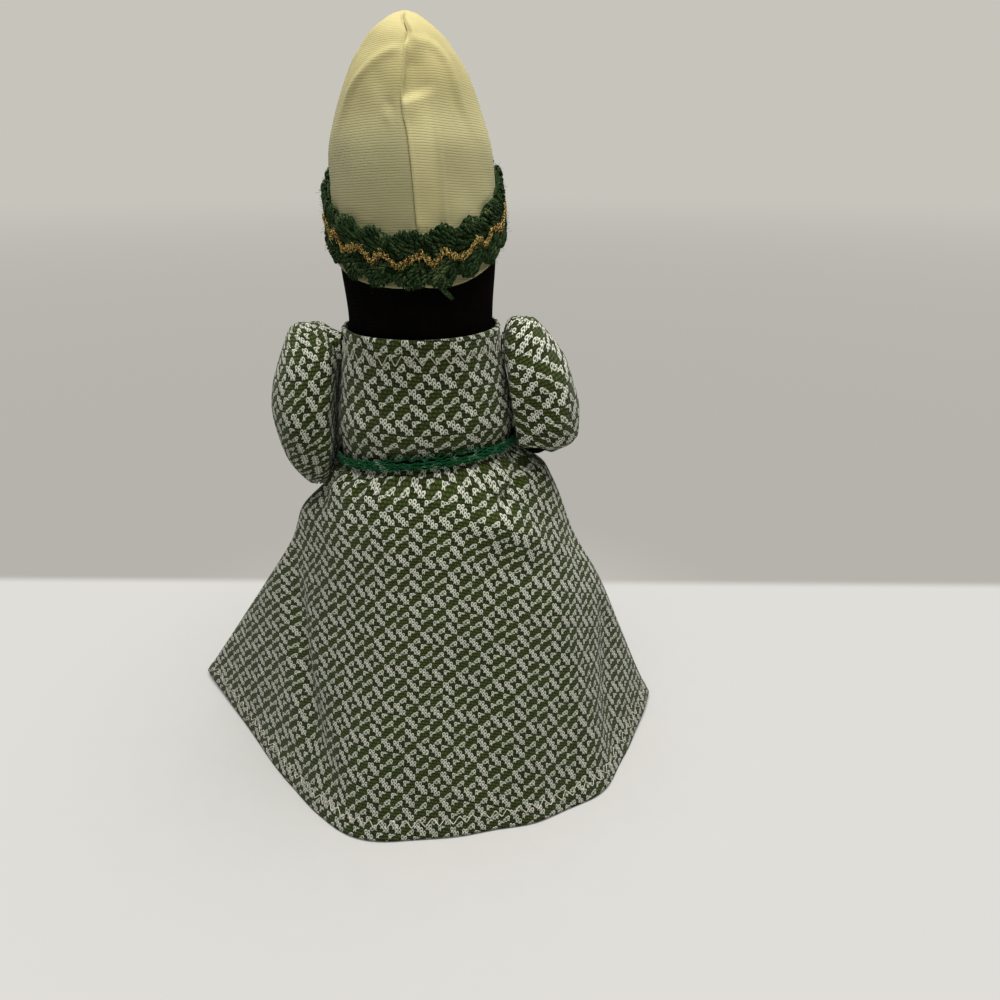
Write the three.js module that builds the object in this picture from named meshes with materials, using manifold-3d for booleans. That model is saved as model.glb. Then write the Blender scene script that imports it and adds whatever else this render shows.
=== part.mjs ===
// Cloth doll with a pointed knit hat, a puff-sleeved dress and a wide skirt that it stands on.
// Millimetres, +Z up. The doll faces -Y, its left hand is at +X, and the origin is the middle
// of its base on the floor.

import * as THREE from 'three';
import { mergeVertices } from 'three/addons/utils/BufferGeometryUtils.js';
import Module from 'manifold-3d';

const wasm = await Module();
wasm.setup();

// Clearance between pieces that touch, and the thickness of each cloth
const gap = 0.3;
const knitCloth = 1.2;
const hatCloth = 0.8;
const coverCloth = 0.8;

// Stuffed body under the dress: half width and half depth of its cover at each level, and how
// far the level rises above the one below it. The hips hang below the waist.
const waist = { height: 161.5, halfWidth: 42.1, halfDepth: 25.6, bandHeight: 4.2, sideTilt: 0.095 };
const belly = { rise: 13.5, halfWidth: 43.2, halfDepth: 31.6 };
const chest = { rise: 16.0, halfWidth: 41.0, halfDepth: 32.6 };
const shoulder = { rise: 21.0, halfWidth: 37.2, halfDepth: 34.6 };
const neck = { rise: 12.0, halfWidth: 35.8, halfDepth: 36.2 };
const hip = { drop: 33.5, halfWidth: 38.0, halfDepth: 33.0 };
const foot = { halfWidth: 38.0, halfDepth: 36.0 };
const neckSeamDrop = 4.0;
const neckDrawnIn = 1.2;

// Base: a cloth cover below a card disc
const baseCoverThickness = 1.0;
const cardThickness = 2.0;

// Head: a stuffed tube with a domed crown. It is widest above the neck by wideRise, the dome
// starts above that, and the crown rises above the dome's start.
const head = { wideRise: 34, domeRise: 8, crownRise: 44, halfWidth: 36.5, halfDepth: 36.0 };
const headDrawnInAtDome = 0.3;
const headLean = 0.9;

// Hat: rise of its tip above the crown of the head. Its outline gives the height as a share of
// the way from the widest level of the head to the tip, and how far the hat is drawn in there,
// as shares of its half width and half depth.
const hatTipRise = 42;
const hatLean = 1.2;
const hatEase = 0.35;
const hatOutline = [
  { height: -0.23, sideInset: -0.013, depthInset: -0.013 },
  { height: -0.085, sideInset: 0, depthInset: 0 },
  { height: 0.235, sideInset: 0.019, depthInset: 0.008 },
  { height: 0.47, sideInset: 0.07, depthInset: 0.048 },
  { height: 0.595, sideInset: 0.16, depthInset: 0.107 },
  { height: 0.735, sideInset: 0.298, depthInset: 0.205 },
  { height: 0.84, sideInset: 0.462, depthInset: 0.35 },
  { height: 0.936, sideInset: 0.675, depthInset: 0.592 },
];
const tipHalfWidth = 1.4;
const hatEdgeBelowTrim = 1.6;

// Crocheted trim round the hat: two rows of shells, low at the nape and high over the face.
// Its middle rises above the widest level of the head, and tilts by the given slope.
const trim = {
  rise: 19,
  tilt: 0.51,
  rowHeight: 12.6,
  rowSpacing: 0.3,
  thickness: 3.6,
  edgeThickness: 1.4,
};
const shellCount = 18;
const scallopDepth = 1.8;
const thinnessBetweenShells = 0.8;
const goldThread = { radius: 0.45, reach: 3.2, bends: 38 };
const yarnEnd = { radius: 0.6, length: 9, direction: 108, drift: 6 };

// Skirt: distance of its hem from the middle at each direction, in degrees from +X.
// The two sharp ends of each list are the side seams, where the hem juts out in a corner.
const backHem = [
  [-7.5, 147.8],
  [2, 128.5],
  [14, 112.5],
  [26, 104.6],
  [46, 102.9],
  [61, 107.3],
  [73, 111.5],
  [97, 107.0],
  [121, 112.6],
  [140, 119.7],
  [153, 118.6],
  [168, 121.8],
  [179, 127.9],
];
const frontHem = [
  [-7.5, 147.8],
  [-24, 131],
  [-42, 118],
  [-58, 117],
  [-75, 109],
  [-92, 112],
  [-110, 108],
  [-128, 117],
  [-146, 116],
  [-164, 121],
  [-181, 127.9],
];
const hemLift = { height: 2.2, reach: 0.16 };

// Skirt gathers: the puff below the waist, and the folds. Each fold runs from one point of the
// panel to another, each given as [fall from waist to hem, place from seam to seam], and is
// deepest where its fall is full. Side folds are alike on both panels.
const puff = { depth: 6.5, top: 0.026, full: 0.10, end: 0.36 };
const sideFolds = [
  { from: [0.026, 0.04], to: [0.24, 0.05], full: 0.1, depth: -6.5, width: 0.1 },
  { from: [0.026, 1], to: [1.05, 1], full: 0.45, depth: 8.5, width: 0.25 },
];
const backFolds = [
  { from: [0.28, -0.02], to: [1.05, 0.46], full: 0.66, depth: -7, width: 0.05 },
  { from: [0.02, 0.95], to: [0.17, 0.66], full: 0.09, depth: -4.5, width: 0.04 },
  { from: [0.08, 0.66], to: [0.42, 0.95], full: 0.22, depth: 3.5, width: 0.07 },
  { from: [0.4, 1.03], to: [1.1, 0.8], full: 0.74, depth: -5, width: 0.045 },
];
const frontFolds = [
  { from: [0.1, 0.2], to: [1.1, 0.28], full: 0.55, depth: -6, width: 0.06 },
  { from: [0.02, 0.5], to: [0.8, 0.5], full: 0.3, depth: -4, width: 0.05 },
  { from: [0.1, 0.78], to: [1.1, 0.72], full: 0.55, depth: -6, width: 0.06 },
];
const foldClearOfSeam = 0.04;

// Waist cord: two turns of one cord, knotted at the front with two short ends
const cord = { radius: 1.0, pitch: 2.6, turns: 2 };
const knot = { halfWidth: 4.4, halfDepth: 3.0, halfHeight: 3.8 };
const cordEnd = { radius: 0.9, spread: 0.05, fall: 0.17, stand: 2.4 };

// Shoulder roots, which the arms turn on, and the armholes they pass through
const root = { ballRadius: 8.0, neckRadius: 6.0 };

// Arm: its middle line from the shoulder, as outward, forward and downward distances, and the
// radius of its cover at each point
const armLine = [
  { out: 3.6, forward: 0, down: 6, radius: 6.6 },
  { out: 9.5, forward: 0, down: 16, radius: 8.2 },
  { out: 13.5, forward: 0, down: 30, radius: 9.2 },
  { out: 13.5, forward: 4, down: 43, radius: 8.8 },
  { out: 10, forward: 17, down: 54, radius: 8.2 },
  { out: 5.5, forward: 34, down: 56, radius: 7.4 },
  { out: 2.5, forward: 46, down: 54, radius: 8.6 },
  { out: 1, forward: 55, down: 51, radius: 6.8 },
  { out: 0.5, forward: 58.5, down: 49.5, radius: 2.6 },
];
const handTip = 3.0;
const sleeveEase = 0.6;

// Where a sleeve is deepest, as a share of its width from the bodice, and how flat it lies there
const sleeveCore = 0.42;
const sleeveFlatness = 0.6;

// Sleeves: distance up from the shoulder, how far the inner wall stands off the bodice, full
// width, half depth and how far forward the middle lies. The first and last rows are the ends.
const leftSleeve = [
  { up: 12.2, standOff: 17, width: 4, halfDepth: 2, forward: 0 },
  { up: 9.5, standOff: 11.5, width: 14.5, halfDepth: 9, forward: 0 },
  { up: 3, standOff: 5.5, width: 24, halfDepth: 15, forward: 0 },
  { up: -6, standOff: 1.6, width: 30.5, halfDepth: 19, forward: 0 },
  { up: -17, standOff: 0.8, width: 33, halfDepth: 21, forward: 0 },
  { up: -30, standOff: 0.6, width: 33, halfDepth: 21.5, forward: 0.5 },
  { up: -44, standOff: 0.8, width: 30.5, halfDepth: 21, forward: 1.5 },
  { up: -56, standOff: 1.4, width: 26, halfDepth: 18, forward: 3 },
  { up: -65, standOff: 3.5, width: 19.5, halfDepth: 13, forward: 4 },
  { up: -71, standOff: 7.5, width: 11, halfDepth: 7, forward: 4 },
  { up: -73.4, standOff: 11.5, width: 3, halfDepth: 2, forward: 4 },
];
const rightSleeve = [
  { up: 15, standOff: 16, width: 4, halfDepth: 2, forward: 0 },
  { up: 12.6, standOff: 11.2, width: 12.5, halfDepth: 9, forward: 0 },
  { up: 7, standOff: 7, width: 19.5, halfDepth: 14.5, forward: 0 },
  { up: -2, standOff: 2.4, width: 26.5, halfDepth: 18.5, forward: 0 },
  { up: -13, standOff: 0.8, width: 31, halfDepth: 21, forward: 0 },
  { up: -25, standOff: 0.6, width: 32.5, halfDepth: 22, forward: 0.5 },
  { up: -37, standOff: 0.8, width: 32.5, halfDepth: 22, forward: 1 },
  { up: -45, standOff: 1.0, width: 31, halfDepth: 19.5, forward: 2 },
  { up: -49.8, standOff: 2.5, width: 27, halfDepth: 15, forward: 2 },
  { up: -51.4, standOff: 8, width: 15, halfDepth: 8, forward: 2 },
];

// Stitched face: each line's distance from the middle and below the widest level of the head,
// its half length and its sag, and the thread's radius
const eyeLine = { fromMiddle: 13, drop: 1, halfLength: 5, sag: 2.4 };
const mouthLine = { fromMiddle: 0, drop: 17, halfLength: 6.5, sag: 2.2 };
const faceThread = 0.6;

// Facets, and the rows of the head's dome as shares of its rise
const domeRows = [0.35, 0.65, 0.88, 0.985];
const bodySides = 20;
const armSides = 10;
const armSteps = 14;
const sleeveSides = 14;
const hatColumns = 12;
const hatRows = 14;
const skirtColumns = 20;
const skirtRows = 12;
const bodiceRows = 7;
const lowerRows = 3;
const lowerTop = 0.12;
const cordSides = 6;
const cordStepsPerTurn = 24;
const trimStepsPerShell = 3;

// Heights over the floor
const bellyHeight = waist.height + belly.rise;
const chestHeight = bellyHeight + chest.rise;
const shoulderHeight = chestHeight + shoulder.rise;
const neckHeight = shoulderHeight + neck.rise;
const wideHeight = neckHeight + head.wideRise;
const domeHeight = wideHeight + head.domeRise;
const crownHeight = domeHeight + head.crownRise;
const tipHeight = crownHeight + hatTipRise;

const mix = THREE.MathUtils.lerp;
const radians = THREE.MathUtils.degToRad;
const ramp = THREE.MathUtils.smoothstep;
const turn = 2 * Math.PI;

// A smooth curve through rows of numbers, by the first number of each row
function through(rows) {
  const places = rows.map((row) => row[0]);
  const size = rows[0].length - 1;
  const curve = new THREE.CubicInterpolant(places, rows.flatMap((row) => row.slice(1)), size);
  return (place) => [...curve.evaluate(place)];
}

function evenly(count, from = 0, to = 1) {
  return Array.from({ length: count + 1 }, (_, i) => mix(from, to, i / count));
}

// Closed bodies from grids of points

function closedBody(points, faces) {
  const at = (i) => points[i];
  let volume = 0;
  for (const [i, j, k] of faces) {
    volume += at(i).dot(new THREE.Vector3().crossVectors(at(j), at(k)));
  }
  const outward = volume > 0 ? faces : faces.map(([i, j, k]) => [i, k, j]);
  const geometry = new THREE.BufferGeometry();
  geometry.setFromPoints(points);
  geometry.setIndex(outward.flat());
  return mergeVertices(geometry, 1e-5);
}

function quad(a, b, c, d) {
  return [[a, b, c], [a, c, d]];
}

// Faces of a grid of points whose first point has the given number
function gridFaces(first, rows, columns, wraps) {
  const faces = [];
  const across = wraps ? columns : columns - 1;
  for (let r = 0; r < rows - 1; r++) {
    for (let c = 0; c < across; c++) {
      const here = first + r * columns;
      const next = (c + 1) % columns;
      faces.push(...quad(here + c, here + columns + c, here + columns + next, here + next));
    }
  }
  return faces;
}

// A solid through rings of points, closed at both ends
function solidThrough(rings) {
  const columns = rings[0].length;
  const points = rings.flat();
  const faces = gridFaces(0, rings.length, columns, true);
  for (const [ring, flip] of [[0, false], [rings.length - 1, true]]) {
    const middle = points.length;
    const centre = new THREE.Vector3();
    rings[ring].forEach((p) => centre.addScaledVector(p, 1 / columns));
    points.push(centre);
    for (let c = 0; c < columns; c++) {
      const a = ring * columns + c;
      const b = ring * columns + ((c + 1) % columns);
      faces.push(flip ? [middle, b, a] : [middle, a, b]);
    }
  }
  return closedBody(points, faces);
}

// A sheet of cloth between an outer and an inner grid of points
function sheetBetween(outer, inner, wraps) {
  const rows = outer.length;
  const columns = outer[0].length;
  const other = rows * columns;
  const points = [...outer.flat(), ...inner.flat()];
  const faces = gridFaces(0, rows, columns, wraps);
  for (const [a, b, c] of gridFaces(other, rows, columns, wraps)) {
    faces.push([a, c, b]);
  }
  const rim = (list) => {
    for (let i = 0; i < list.length - 1; i++) {
      const [a, b] = [list[i], list[i + 1]];
      faces.push(...quad(a, b, other + b, other + a));
    }
  };
  const around = columns + (wraps ? 1 : 0);
  const rowOf = (r) => Array.from({ length: around }, (_, c) => r * columns + (c % columns));
  const columnOf = (c) => Array.from({ length: rows }, (_, r) => r * columns + c);
  rim(rowOf(0));
  rim(rowOf(rows - 1).reverse());
  if (!wraps) {
    rim(columnOf(0).reverse());
    rim(columnOf(columns - 1));
  }
  return closedBody(points, faces);
}

// A round tube along a curve, with a radius that may change along it
function tube(curve, radiusAt, steps, sides, closed = false) {
  const frames = curve.computeFrenetFrames(steps, closed);
  const rings = evenly(steps).map((share, i) => {
    const middle = curve.getPointAt(share);
    const radius = radiusAt(share);
    return evenly(sides).slice(0, sides).map((part) => {
      const angle = part * turn;
      const point = middle.clone().addScaledVector(frames.normals[i], radius * Math.cos(angle));
      return point.addScaledVector(frames.binormals[i], radius * Math.sin(angle));
    });
  });
  if (!closed) {
    return solidThrough(rings);
  }
  rings.pop();
  return loopThrough(rings);
}

// A closed loop through rings of points, the last joined to the first
function loopThrough(rings) {
  const columns = rings[0].length;
  const faces = [];
  rings.forEach((_, r) => {
    const next = ((r + 1) % rings.length) * columns;
    for (let c = 0; c < columns; c++) {
      const beside = (c + 1) % columns;
      faces.push(...quad(r * columns + c, next + c, next + beside, r * columns + beside));
    }
  });
  return closedBody(rings.flat(), faces);
}

// Cutting and joining

function solidOf(geometry) {
  const clean = geometry.clone();
  clean.deleteAttribute('normal');
  clean.deleteAttribute('uv');
  const merged = mergeVertices(clean, 1e-4);
  return new wasm.Manifold(new wasm.Mesh({
    numProp: 3,
    vertProperties: Float32Array.from(merged.attributes.position.array),
    triVerts: Uint32Array.from(merged.index.array),
  }));
}

function geometryOf(solid) {
  const mesh = solid.getMesh();
  const geometry = new THREE.BufferGeometry();
  const positions = Float32Array.from(mesh.vertProperties);
  geometry.setAttribute('position', new THREE.BufferAttribute(positions, 3));
  geometry.setIndex([...mesh.triVerts]);
  return geometry;
}

function cut(geometry, ...tools) {
  return geometryOf(tools.reduce((solid, tool) => solid.subtract(solidOf(tool)), solidOf(geometry)));
}

function join(geometry, ...others) {
  return geometryOf(others.reduce((solid, other) => solid.add(solidOf(other)), solidOf(geometry)));
}

// Colours and finishes
const cloth = (color) => new THREE.MeshStandardMaterial({ color, roughness: 0.95, metalness: 0 });
const finishes = {
  blackCloth: cloth(0x14110f),
  knit: cloth(0x6f7a55),
  hat: cloth(0xd9cc9a),
  trimYarn: cloth(0x123522),
  gold: new THREE.MeshStandardMaterial({ color: 0xc9a557, roughness: 0.35, metalness: 0.8 }),
  waistYarn: cloth(0x1d4a3a),
  stuffing: cloth(0xe9e6de),
  card: cloth(0xb79a72),
  faceThread: cloth(0xd8c8a8),
};

const doll = new THREE.Group();
const hat = new THREE.Group();
doll.add(hat);

function add(name, geometry, finish, group = doll) {
  geometry.computeVertexNormals();
  const mesh = new THREE.Mesh(geometry, finishes[finish]);
  mesh.name = name;
  group.add(mesh);
}

// Bodice and body. A level runs from 0 at the neckline to 1 at the waist, whose line is lower
// on the left side than on the right.

const waistDrop = neckHeight - waist.height;
const levelOf = (height) => (neckHeight - height) / waistDrop;
const bandTop = waist.height + waist.bandHeight;
const bodyShape = through([
  [0, neck.halfWidth, neck.halfDepth],
  [levelOf(shoulderHeight), shoulder.halfWidth, shoulder.halfDepth],
  [levelOf(chestHeight), chest.halfWidth, chest.halfDepth],
  [levelOf(bellyHeight), belly.halfWidth, belly.halfDepth],
  [levelOf(bandTop), waist.halfWidth, waist.halfDepth],
  [1, waist.halfWidth, waist.halfDepth],
]);

function waistHeight(angle) {
  return waist.height - waist.sideTilt * waist.halfWidth * Math.cos(angle);
}

// A point of the body's cover, or of what lies a given distance outside it
function bodicePoint(angle, level, outside = 0) {
  const [halfWidth, halfDepth] = bodyShape(level);
  return new THREE.Vector3(
    (halfWidth + outside) * Math.cos(angle),
    (halfDepth + outside) * Math.sin(angle),
    mix(neckHeight, waistHeight(angle), level),
  );
}

// Below the waist the stuffed body swells to the hips and stands on its base
const floorOfCover = baseCoverThickness + gap;
const bandFall = waist.bandHeight / waist.height;
const lowerShape = through([
  [0, waist.halfWidth, waist.halfDepth],
  [bandFall, waist.halfWidth, waist.halfDepth],
  [hip.drop / waist.height, hip.halfWidth, hip.halfDepth],
  [1, foot.halfWidth, foot.halfDepth],
]);

function lowerPoint(angle, fall, inside = 0, bottom = floorOfCover) {
  const [halfWidth, halfDepth] = lowerShape(fall);
  return new THREE.Vector3(
    (halfWidth - inside) * Math.cos(angle),
    (halfDepth - inside) * Math.sin(angle),
    mix(waistHeight(angle), bottom, fall),
  );
}

const ringAngles = evenly(bodySides).slice(0, bodySides).map((part) => part * turn);
const seamHeight = neckHeight - neckSeamDrop;
const seamLevel = levelOf(seamHeight);
const bodiceLevels = evenly(bodiceRows, 0, levelOf(bandTop));
const lowerFalls = [bandFall, ...evenly(lowerRows, lowerTop, 1)];

function bodyRings(inside, bottom = floorOfCover) {
  const levels = [seamLevel, ...bodiceLevels.filter((level) => level > seamLevel), 1];
  return [
    ...levels.map((level) => ringAngles.map((angle) => bodicePoint(angle, level, -inside))),
    ...lowerFalls.map((fall) => ringAngles.map((angle) => lowerPoint(angle, fall, inside, bottom))),
  ];
}

const cardTop = floorOfCover + cardThickness;
const stuffingInset = coverCloth + gap;

function disc(inset, bottom, thickness) {
  const ring = (height) => ringAngles.map((angle) => new THREE.Vector3(
    (foot.halfWidth - inset) * Math.cos(angle),
    (foot.halfDepth - inset) * Math.sin(angle),
    height,
  ));
  return solidThrough([ring(bottom), ring(bottom + thickness)]);
}

add('body_cover', sheetBetween(bodyRings(0), bodyRings(coverCloth), true), 'blackCloth');
add('body_stuffing', solidThrough(bodyRings(stuffingInset, cardTop + gap)), 'stuffing');
add('base_cover', disc(0, 0, baseCoverThickness), 'blackCloth');
add('base_card', disc(stuffingInset, floorOfCover, cardThickness), 'card');

// Head: its cover narrows to the seam with the body and closes over the crown

const [seamHalfWidth, seamHalfDepth] = bodyShape(seamLevel);
const headShape = through([
  [seamHeight, seamHalfWidth - neckDrawnIn, seamHalfDepth - neckDrawnIn],
  [neckHeight, neck.halfWidth - neckDrawnIn, neck.halfDepth - neckDrawnIn],
  [wideHeight, head.halfWidth, head.halfDepth],
  [domeHeight, head.halfWidth - headDrawnInAtDome, head.halfDepth - headDrawnInAtDome],
]);

function headPoint(angle, height, inside = 0) {
  const dome = Math.max(0, (height - domeHeight) / (crownHeight - inside - domeHeight));
  const round = Math.sqrt(Math.max(0, 1 - dome * dome));
  const [halfWidth, halfDepth] = headShape(Math.min(height, domeHeight));
  const lean = headLean * ramp(height, wideHeight, crownHeight);
  return new THREE.Vector3(
    lean + (halfWidth - inside) * round * Math.cos(angle),
    (halfDepth - inside) * round * Math.sin(angle),
    height,
  );
}

function headRings(inside, bottom) {
  const dome = crownHeight - inside - domeHeight;
  const heights = [
    ...evenly(3, bottom, domeHeight),
    ...domeRows.map((share) => domeHeight + share * dome),
  ];
  return heights.map((height) => ringAngles.map((angle) => headPoint(angle, height, inside)));
}

const headBottom = seamHeight + gap;
const headHollow = solidThrough(headRings(coverCloth, headBottom - 1));
add('head_cover', cut(solidThrough(headRings(0, headBottom)), headHollow), 'blackCloth');
add('head_stuffing', solidThrough(headRings(stuffingInset, headBottom)), 'stuffing');

// A stitched line of the face: an arc that sags in the middle and follows the front of the head
function faceLine({ fromMiddle, drop, halfLength, sag }, side) {
  const stand = gap + faceThread;
  const points = evenly(6, -1, 1).map((share) => {
    const x = side * fromMiddle + share * halfLength;
    const z = wideHeight - drop - sag * (1 - share * share);
    const [halfWidth, halfDepth] = headShape(z);
    const angle = -Math.acos(x / (halfWidth + stand));
    return new THREE.Vector3(x, (halfDepth + stand) * Math.sin(angle), z);
  });
  return tube(new THREE.CatmullRomCurve3(points), () => faceThread, 8, cordSides);
}

add('eye_stitch_left', faceLine(eyeLine, 1), 'faceThread');
add('eye_stitch_right', faceLine(eyeLine, -1), 'faceThread');
add('mouth_stitch', faceLine(mouthLine, 1), 'faceThread');

// Dress: a back and a front panel, sewn at the sides. A place runs round a panel from the left
// seam at 0 to the right seam at 1. A fall runs from 0 at the waist to 1 at the hem.

const hemOf = { back: hemCurve(backHem), front: hemCurve(frontHem) };

function hemCurve(stations) {
  const [first, last] = [stations[0][0], stations[stations.length - 1][0]];
  const placeOf = (direction) => (direction - first) / (last - first);
  const radius = through(stations.map(([direction, distance]) => [placeOf(direction), distance]));
  return (place) => ({ direction: radians(mix(first, last, place)), distance: radius(place)[0] });
}

const foldsOf = { back: backFolds, front: frontFolds };
const turnOf = { back: 1, front: -1 };

function swell(fall, start, full, end) {
  return ramp(fall, start, full) * (1 - ramp(fall, full, end));
}

function foldOut({ from, to, full, depth, width }, place, fall) {
  const middle = mix(from[1], to[1], (fall - from[0]) / (to[0] - from[0]));
  const away = (place - middle) / width;
  return depth * Math.exp(-away * away) * swell(fall, from[0], full, to[0]);
}

function foldDepth(panel, place, fall) {
  const clear = ramp(Math.min(place, 1 - place), 0, foldClearOfSeam);
  let depth = puff.depth * swell(fall, puff.top, puff.full, puff.end);
  sideFolds.forEach((fold) => { depth += foldOut(fold, place, fall); });
  foldsOf[panel].forEach((fold) => { depth += clear * foldOut(fold, place, fall); });
  return depth;
}

const dressOut = gap + knitCloth;

function skirtPoint(panel, place, fall) {
  const angle = turnOf[panel] * Math.PI * place;
  const top = bodicePoint(angle, 1, dressOut);
  const { direction, distance } = hemOf[panel](place);
  const spread = Math.max(0, (fall - bandFall) / (1 - bandFall));
  const x = mix(top.x, distance * Math.cos(direction), spread);
  const y = mix(top.y, distance * Math.sin(direction), spread);
  const reach = Math.hypot(x, y);
  const out = 1 + foldDepth(panel, place, fall) / reach;
  const seam = Math.min(place, 1 - place);
  const lift = hemLift.height * (1 - ramp(seam, 0, hemLift.reach)) * fall ** 3;
  return new THREE.Vector3(x * out, y * out, mix(top.z, 0, fall) + lift);
}

// Steps run from 0 at the neckline, past 1 at the waist, to 2 at the hem
function dressPoint(panel, place, step) {
  if (step <= 1) {
    return bodicePoint(turnOf[panel] * Math.PI * place, step, dressOut);
  }
  return skirtPoint(panel, place, step - 1);
}

// Which way a surface's own normal has to be turned to point away from the middle of the doll
function outwardSign(surface, place, step) {
  const point = surface(place, step);
  const normal = rawNormal(surface, place, step);
  return Math.sign(normal.x * point.x + normal.y * point.y);
}

function rawNormal(surface, place, step) {
  const small = 0.002;
  const [west, east] = [Math.max(0, place - small), Math.min(1, place + small)];
  const [up, down] = [Math.max(0, step - small), step + small];
  const across = surface(east, step).sub(surface(west, step));
  const along = surface(place, down).sub(surface(place, up));
  return across.cross(along).normalize();
}

// A sheet of cloth whose outer face is the given surface. At its two seams, and as far as the
// given step, its thickness is measured level, so that it meets the next panel in the plane of
// the seam and stays clear of what it covers.
function clothOf(surface, places, steps, thickness, levelAsFarAs = -1) {
  const sign = outwardSign(surface, 0.5, steps[Math.floor(steps.length / 2)]);
  const outer = steps.map((step) => places.map((place) => surface(place, step)));
  const inner = steps.map((step, r) => places.map((place, c) => {
    const level = c === 0 || c === places.length - 1 || step <= levelAsFarAs;
    const point = outer[r][c].clone();
    const inwards = level
      ? new THREE.Vector3(point.x, point.y, 0).normalize().negate()
      : rawNormal(surface, place, step).multiplyScalar(-sign);
    point.addScaledVector(inwards, thickness);
    point.z = Math.max(point.z, 0);
    return point;
  }));
  return sheetBetween(outer, inner, false);
}

const dressSteps = [...bodiceLevels, ...evenly(skirtRows, 1 + bandFall, 2)];
const armholeRadius = root.neckRadius + gap;
const armhole = new THREE.CylinderGeometry(armholeRadius, armholeRadius, 4 * chest.halfWidth, 24)
  .rotateZ(Math.PI / 2).translate(0, 0, shoulderHeight);

function dressPanel(panel) {
  const surface = (share, step) => {
    const edge = gap / 2 / dressPoint(panel, 0, step).x / Math.PI;
    return dressPoint(panel, mix(edge, 1 - edge, share), step);
  };
  return cut(clothOf(surface, evenly(skirtColumns), dressSteps, knitCloth, 1), armhole);
}

add('dress_back', dressPanel('back'), 'knit');
add('dress_front', dressPanel('front'), 'knit');

// Waist cord: two turns in the band between the bodice and the skirt

// A point outside the dress, by its height over the waist line
function dressAround(angle, rise, outside) {
  const round = ((angle % turn) + turn) % turn;
  const panel = round <= Math.PI ? 'back' : 'front';
  const place = (round <= Math.PI ? round : turn - round) / Math.PI;
  const tall = rise > 0 ? neckHeight - waistHeight(angle) : waistHeight(angle);
  const point = dressPoint(panel, place, 1 - rise / tall);
  const reach = Math.hypot(point.x, point.y);
  return new THREE.Vector3(point.x * (1 + outside / reach), point.y * (1 + outside / reach), point.z);
}

const front = -Math.PI / 2;
const cordOut = gap + cord.radius;
const cordSteps = cord.turns * cordStepsPerTurn;
const cordBow = waist.halfWidth * (1 / Math.cos(Math.PI / cordStepsPerTurn) - 1);
const cordPoints = evenly(cordSteps).map((share) => {
  const rise = cord.pitch * cord.turns * (share - 0.5);
  return dressAround(front + share * cord.turns * turn, rise, cordOut + cordBow);
});
let leastCordGap = Infinity;
cordPoints.forEach((point, i) => {
  for (const other of cordPoints.slice(i + cordStepsPerTurn / 2)) {
    leastCordGap = Math.min(leastCordGap, point.distanceTo(other) - 2 * cord.radius);
  }
});
console.log(`waist cord: least gap between its turns ${leastCordGap.toFixed(2)} mm`);
const cordLine = new THREE.CatmullRomCurve3(cordPoints);
add('waist_cord', tube(cordLine, () => cord.radius, cordSteps, cordSides), 'waistYarn');

// Knot at the front, with the two ends lying on the skirt
const knotPlace = dressAround(front, 0, cordOut + cordBow + cord.radius + gap + knot.halfDepth);
const knotBall = new THREE.SphereGeometry(1, 12, 8)
  .scale(knot.halfWidth, knot.halfDepth, knot.halfHeight)
  .translate(knotPlace.x, knotPlace.y, knotPlace.z);

function looseEnd(side) {
  const inKnot = knotPlace.clone();
  inKnot.x += side * knot.halfWidth / 3;
  inKnot.z -= knot.halfHeight / 3;
  const shares = [0.25, 0.5, 0.75, 1];
  const onSkirt = shares.map((share) => {
    const spread = side * cordEnd.spread * turn * share;
    return dressAround(front + spread, -cordEnd.fall * share * waist.height, cordEnd.stand);
  });
  return tube(new THREE.CatmullRomCurve3([inKnot, ...onSkirt]), () => cordEnd.radius, 10, cordSides);
}

add('waist_knot', join(knotBall, looseEnd(1), looseEnd(-1)), 'waistYarn');

// Arms: a ball-ended root through each armhole, and a stuffed arm that turns on it

const pivotReach = shoulder.halfWidth + dressOut + root.ballRadius;
const rootStart = bodyShape(levelOf(shoulderHeight - root.neckRadius))[0] + gap;

function pivotOf(side) {
  return new THREE.Vector3(side * pivotReach, 0, shoulderHeight);
}

function ballAt(centre, radius) {
  return new THREE.SphereGeometry(radius, 14, 10).translate(centre.x, centre.y, centre.z);
}

function shoulderRoot(side) {
  const length = pivotReach - rootStart;
  const stem = new THREE.CylinderGeometry(root.neckRadius, root.neckRadius, length, 16)
    .rotateZ(Math.PI / 2).translate(side * (rootStart + length / 2), 0, shoulderHeight);
  return join(ballAt(pivotOf(side), root.ballRadius), stem);
}

// A tube along the arm, smaller than its cover by the given inset. Its upper end reaches into
// the shoulder by the given distance, and an inner tube stops short of the fingertips.
function armTube(side, inset, reachIn, stopShort = null) {
  const pivot = pivotOf(side);
  const line = stopShort === null ? armLine : armLine.slice(0, -1);
  const points = line.map(({ out, forward, down }, i) => {
    const shift = i === 0 ? reachIn : 0;
    const back = i === line.length - 1 ? stopShort ?? 0 : 0;
    return new THREE.Vector3(
      pivot.x + side * (out - shift * 0.5),
      -(forward - back),
      pivot.z - down + shift,
    );
  });
  let length = 0;
  const radii = line.map(({ radius }, i) => {
    length += i > 0 ? points[i].distanceTo(points[i - 1]) : 0;
    return [length, radius - inset];
  });
  const radiusAt = through(radii);
  const curve = new THREE.CatmullRomCurve3(points, false, 'chordal');
  return tube(curve, (share) => radiusAt(share * length)[0], armSteps, armSides);
}

const socketRadius = root.ballRadius + gap;

function armCover(side) {
  const hollow = armTube(side, coverCloth, 1, handTip);
  return cut(armTube(side, 0, 0), hollow, ballAt(pivotOf(side), socketRadius));
}

function armStuffing(side) {
  return cut(armTube(side, stuffingInset, 0, handTip + 2 * gap), ballAt(pivotOf(side), socketRadius));
}

// Sleeves: puffed shells, flat against the bodice, open at the shoulder and at the wrist

const cordStack = 2 * (cord.radius + gap);

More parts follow.
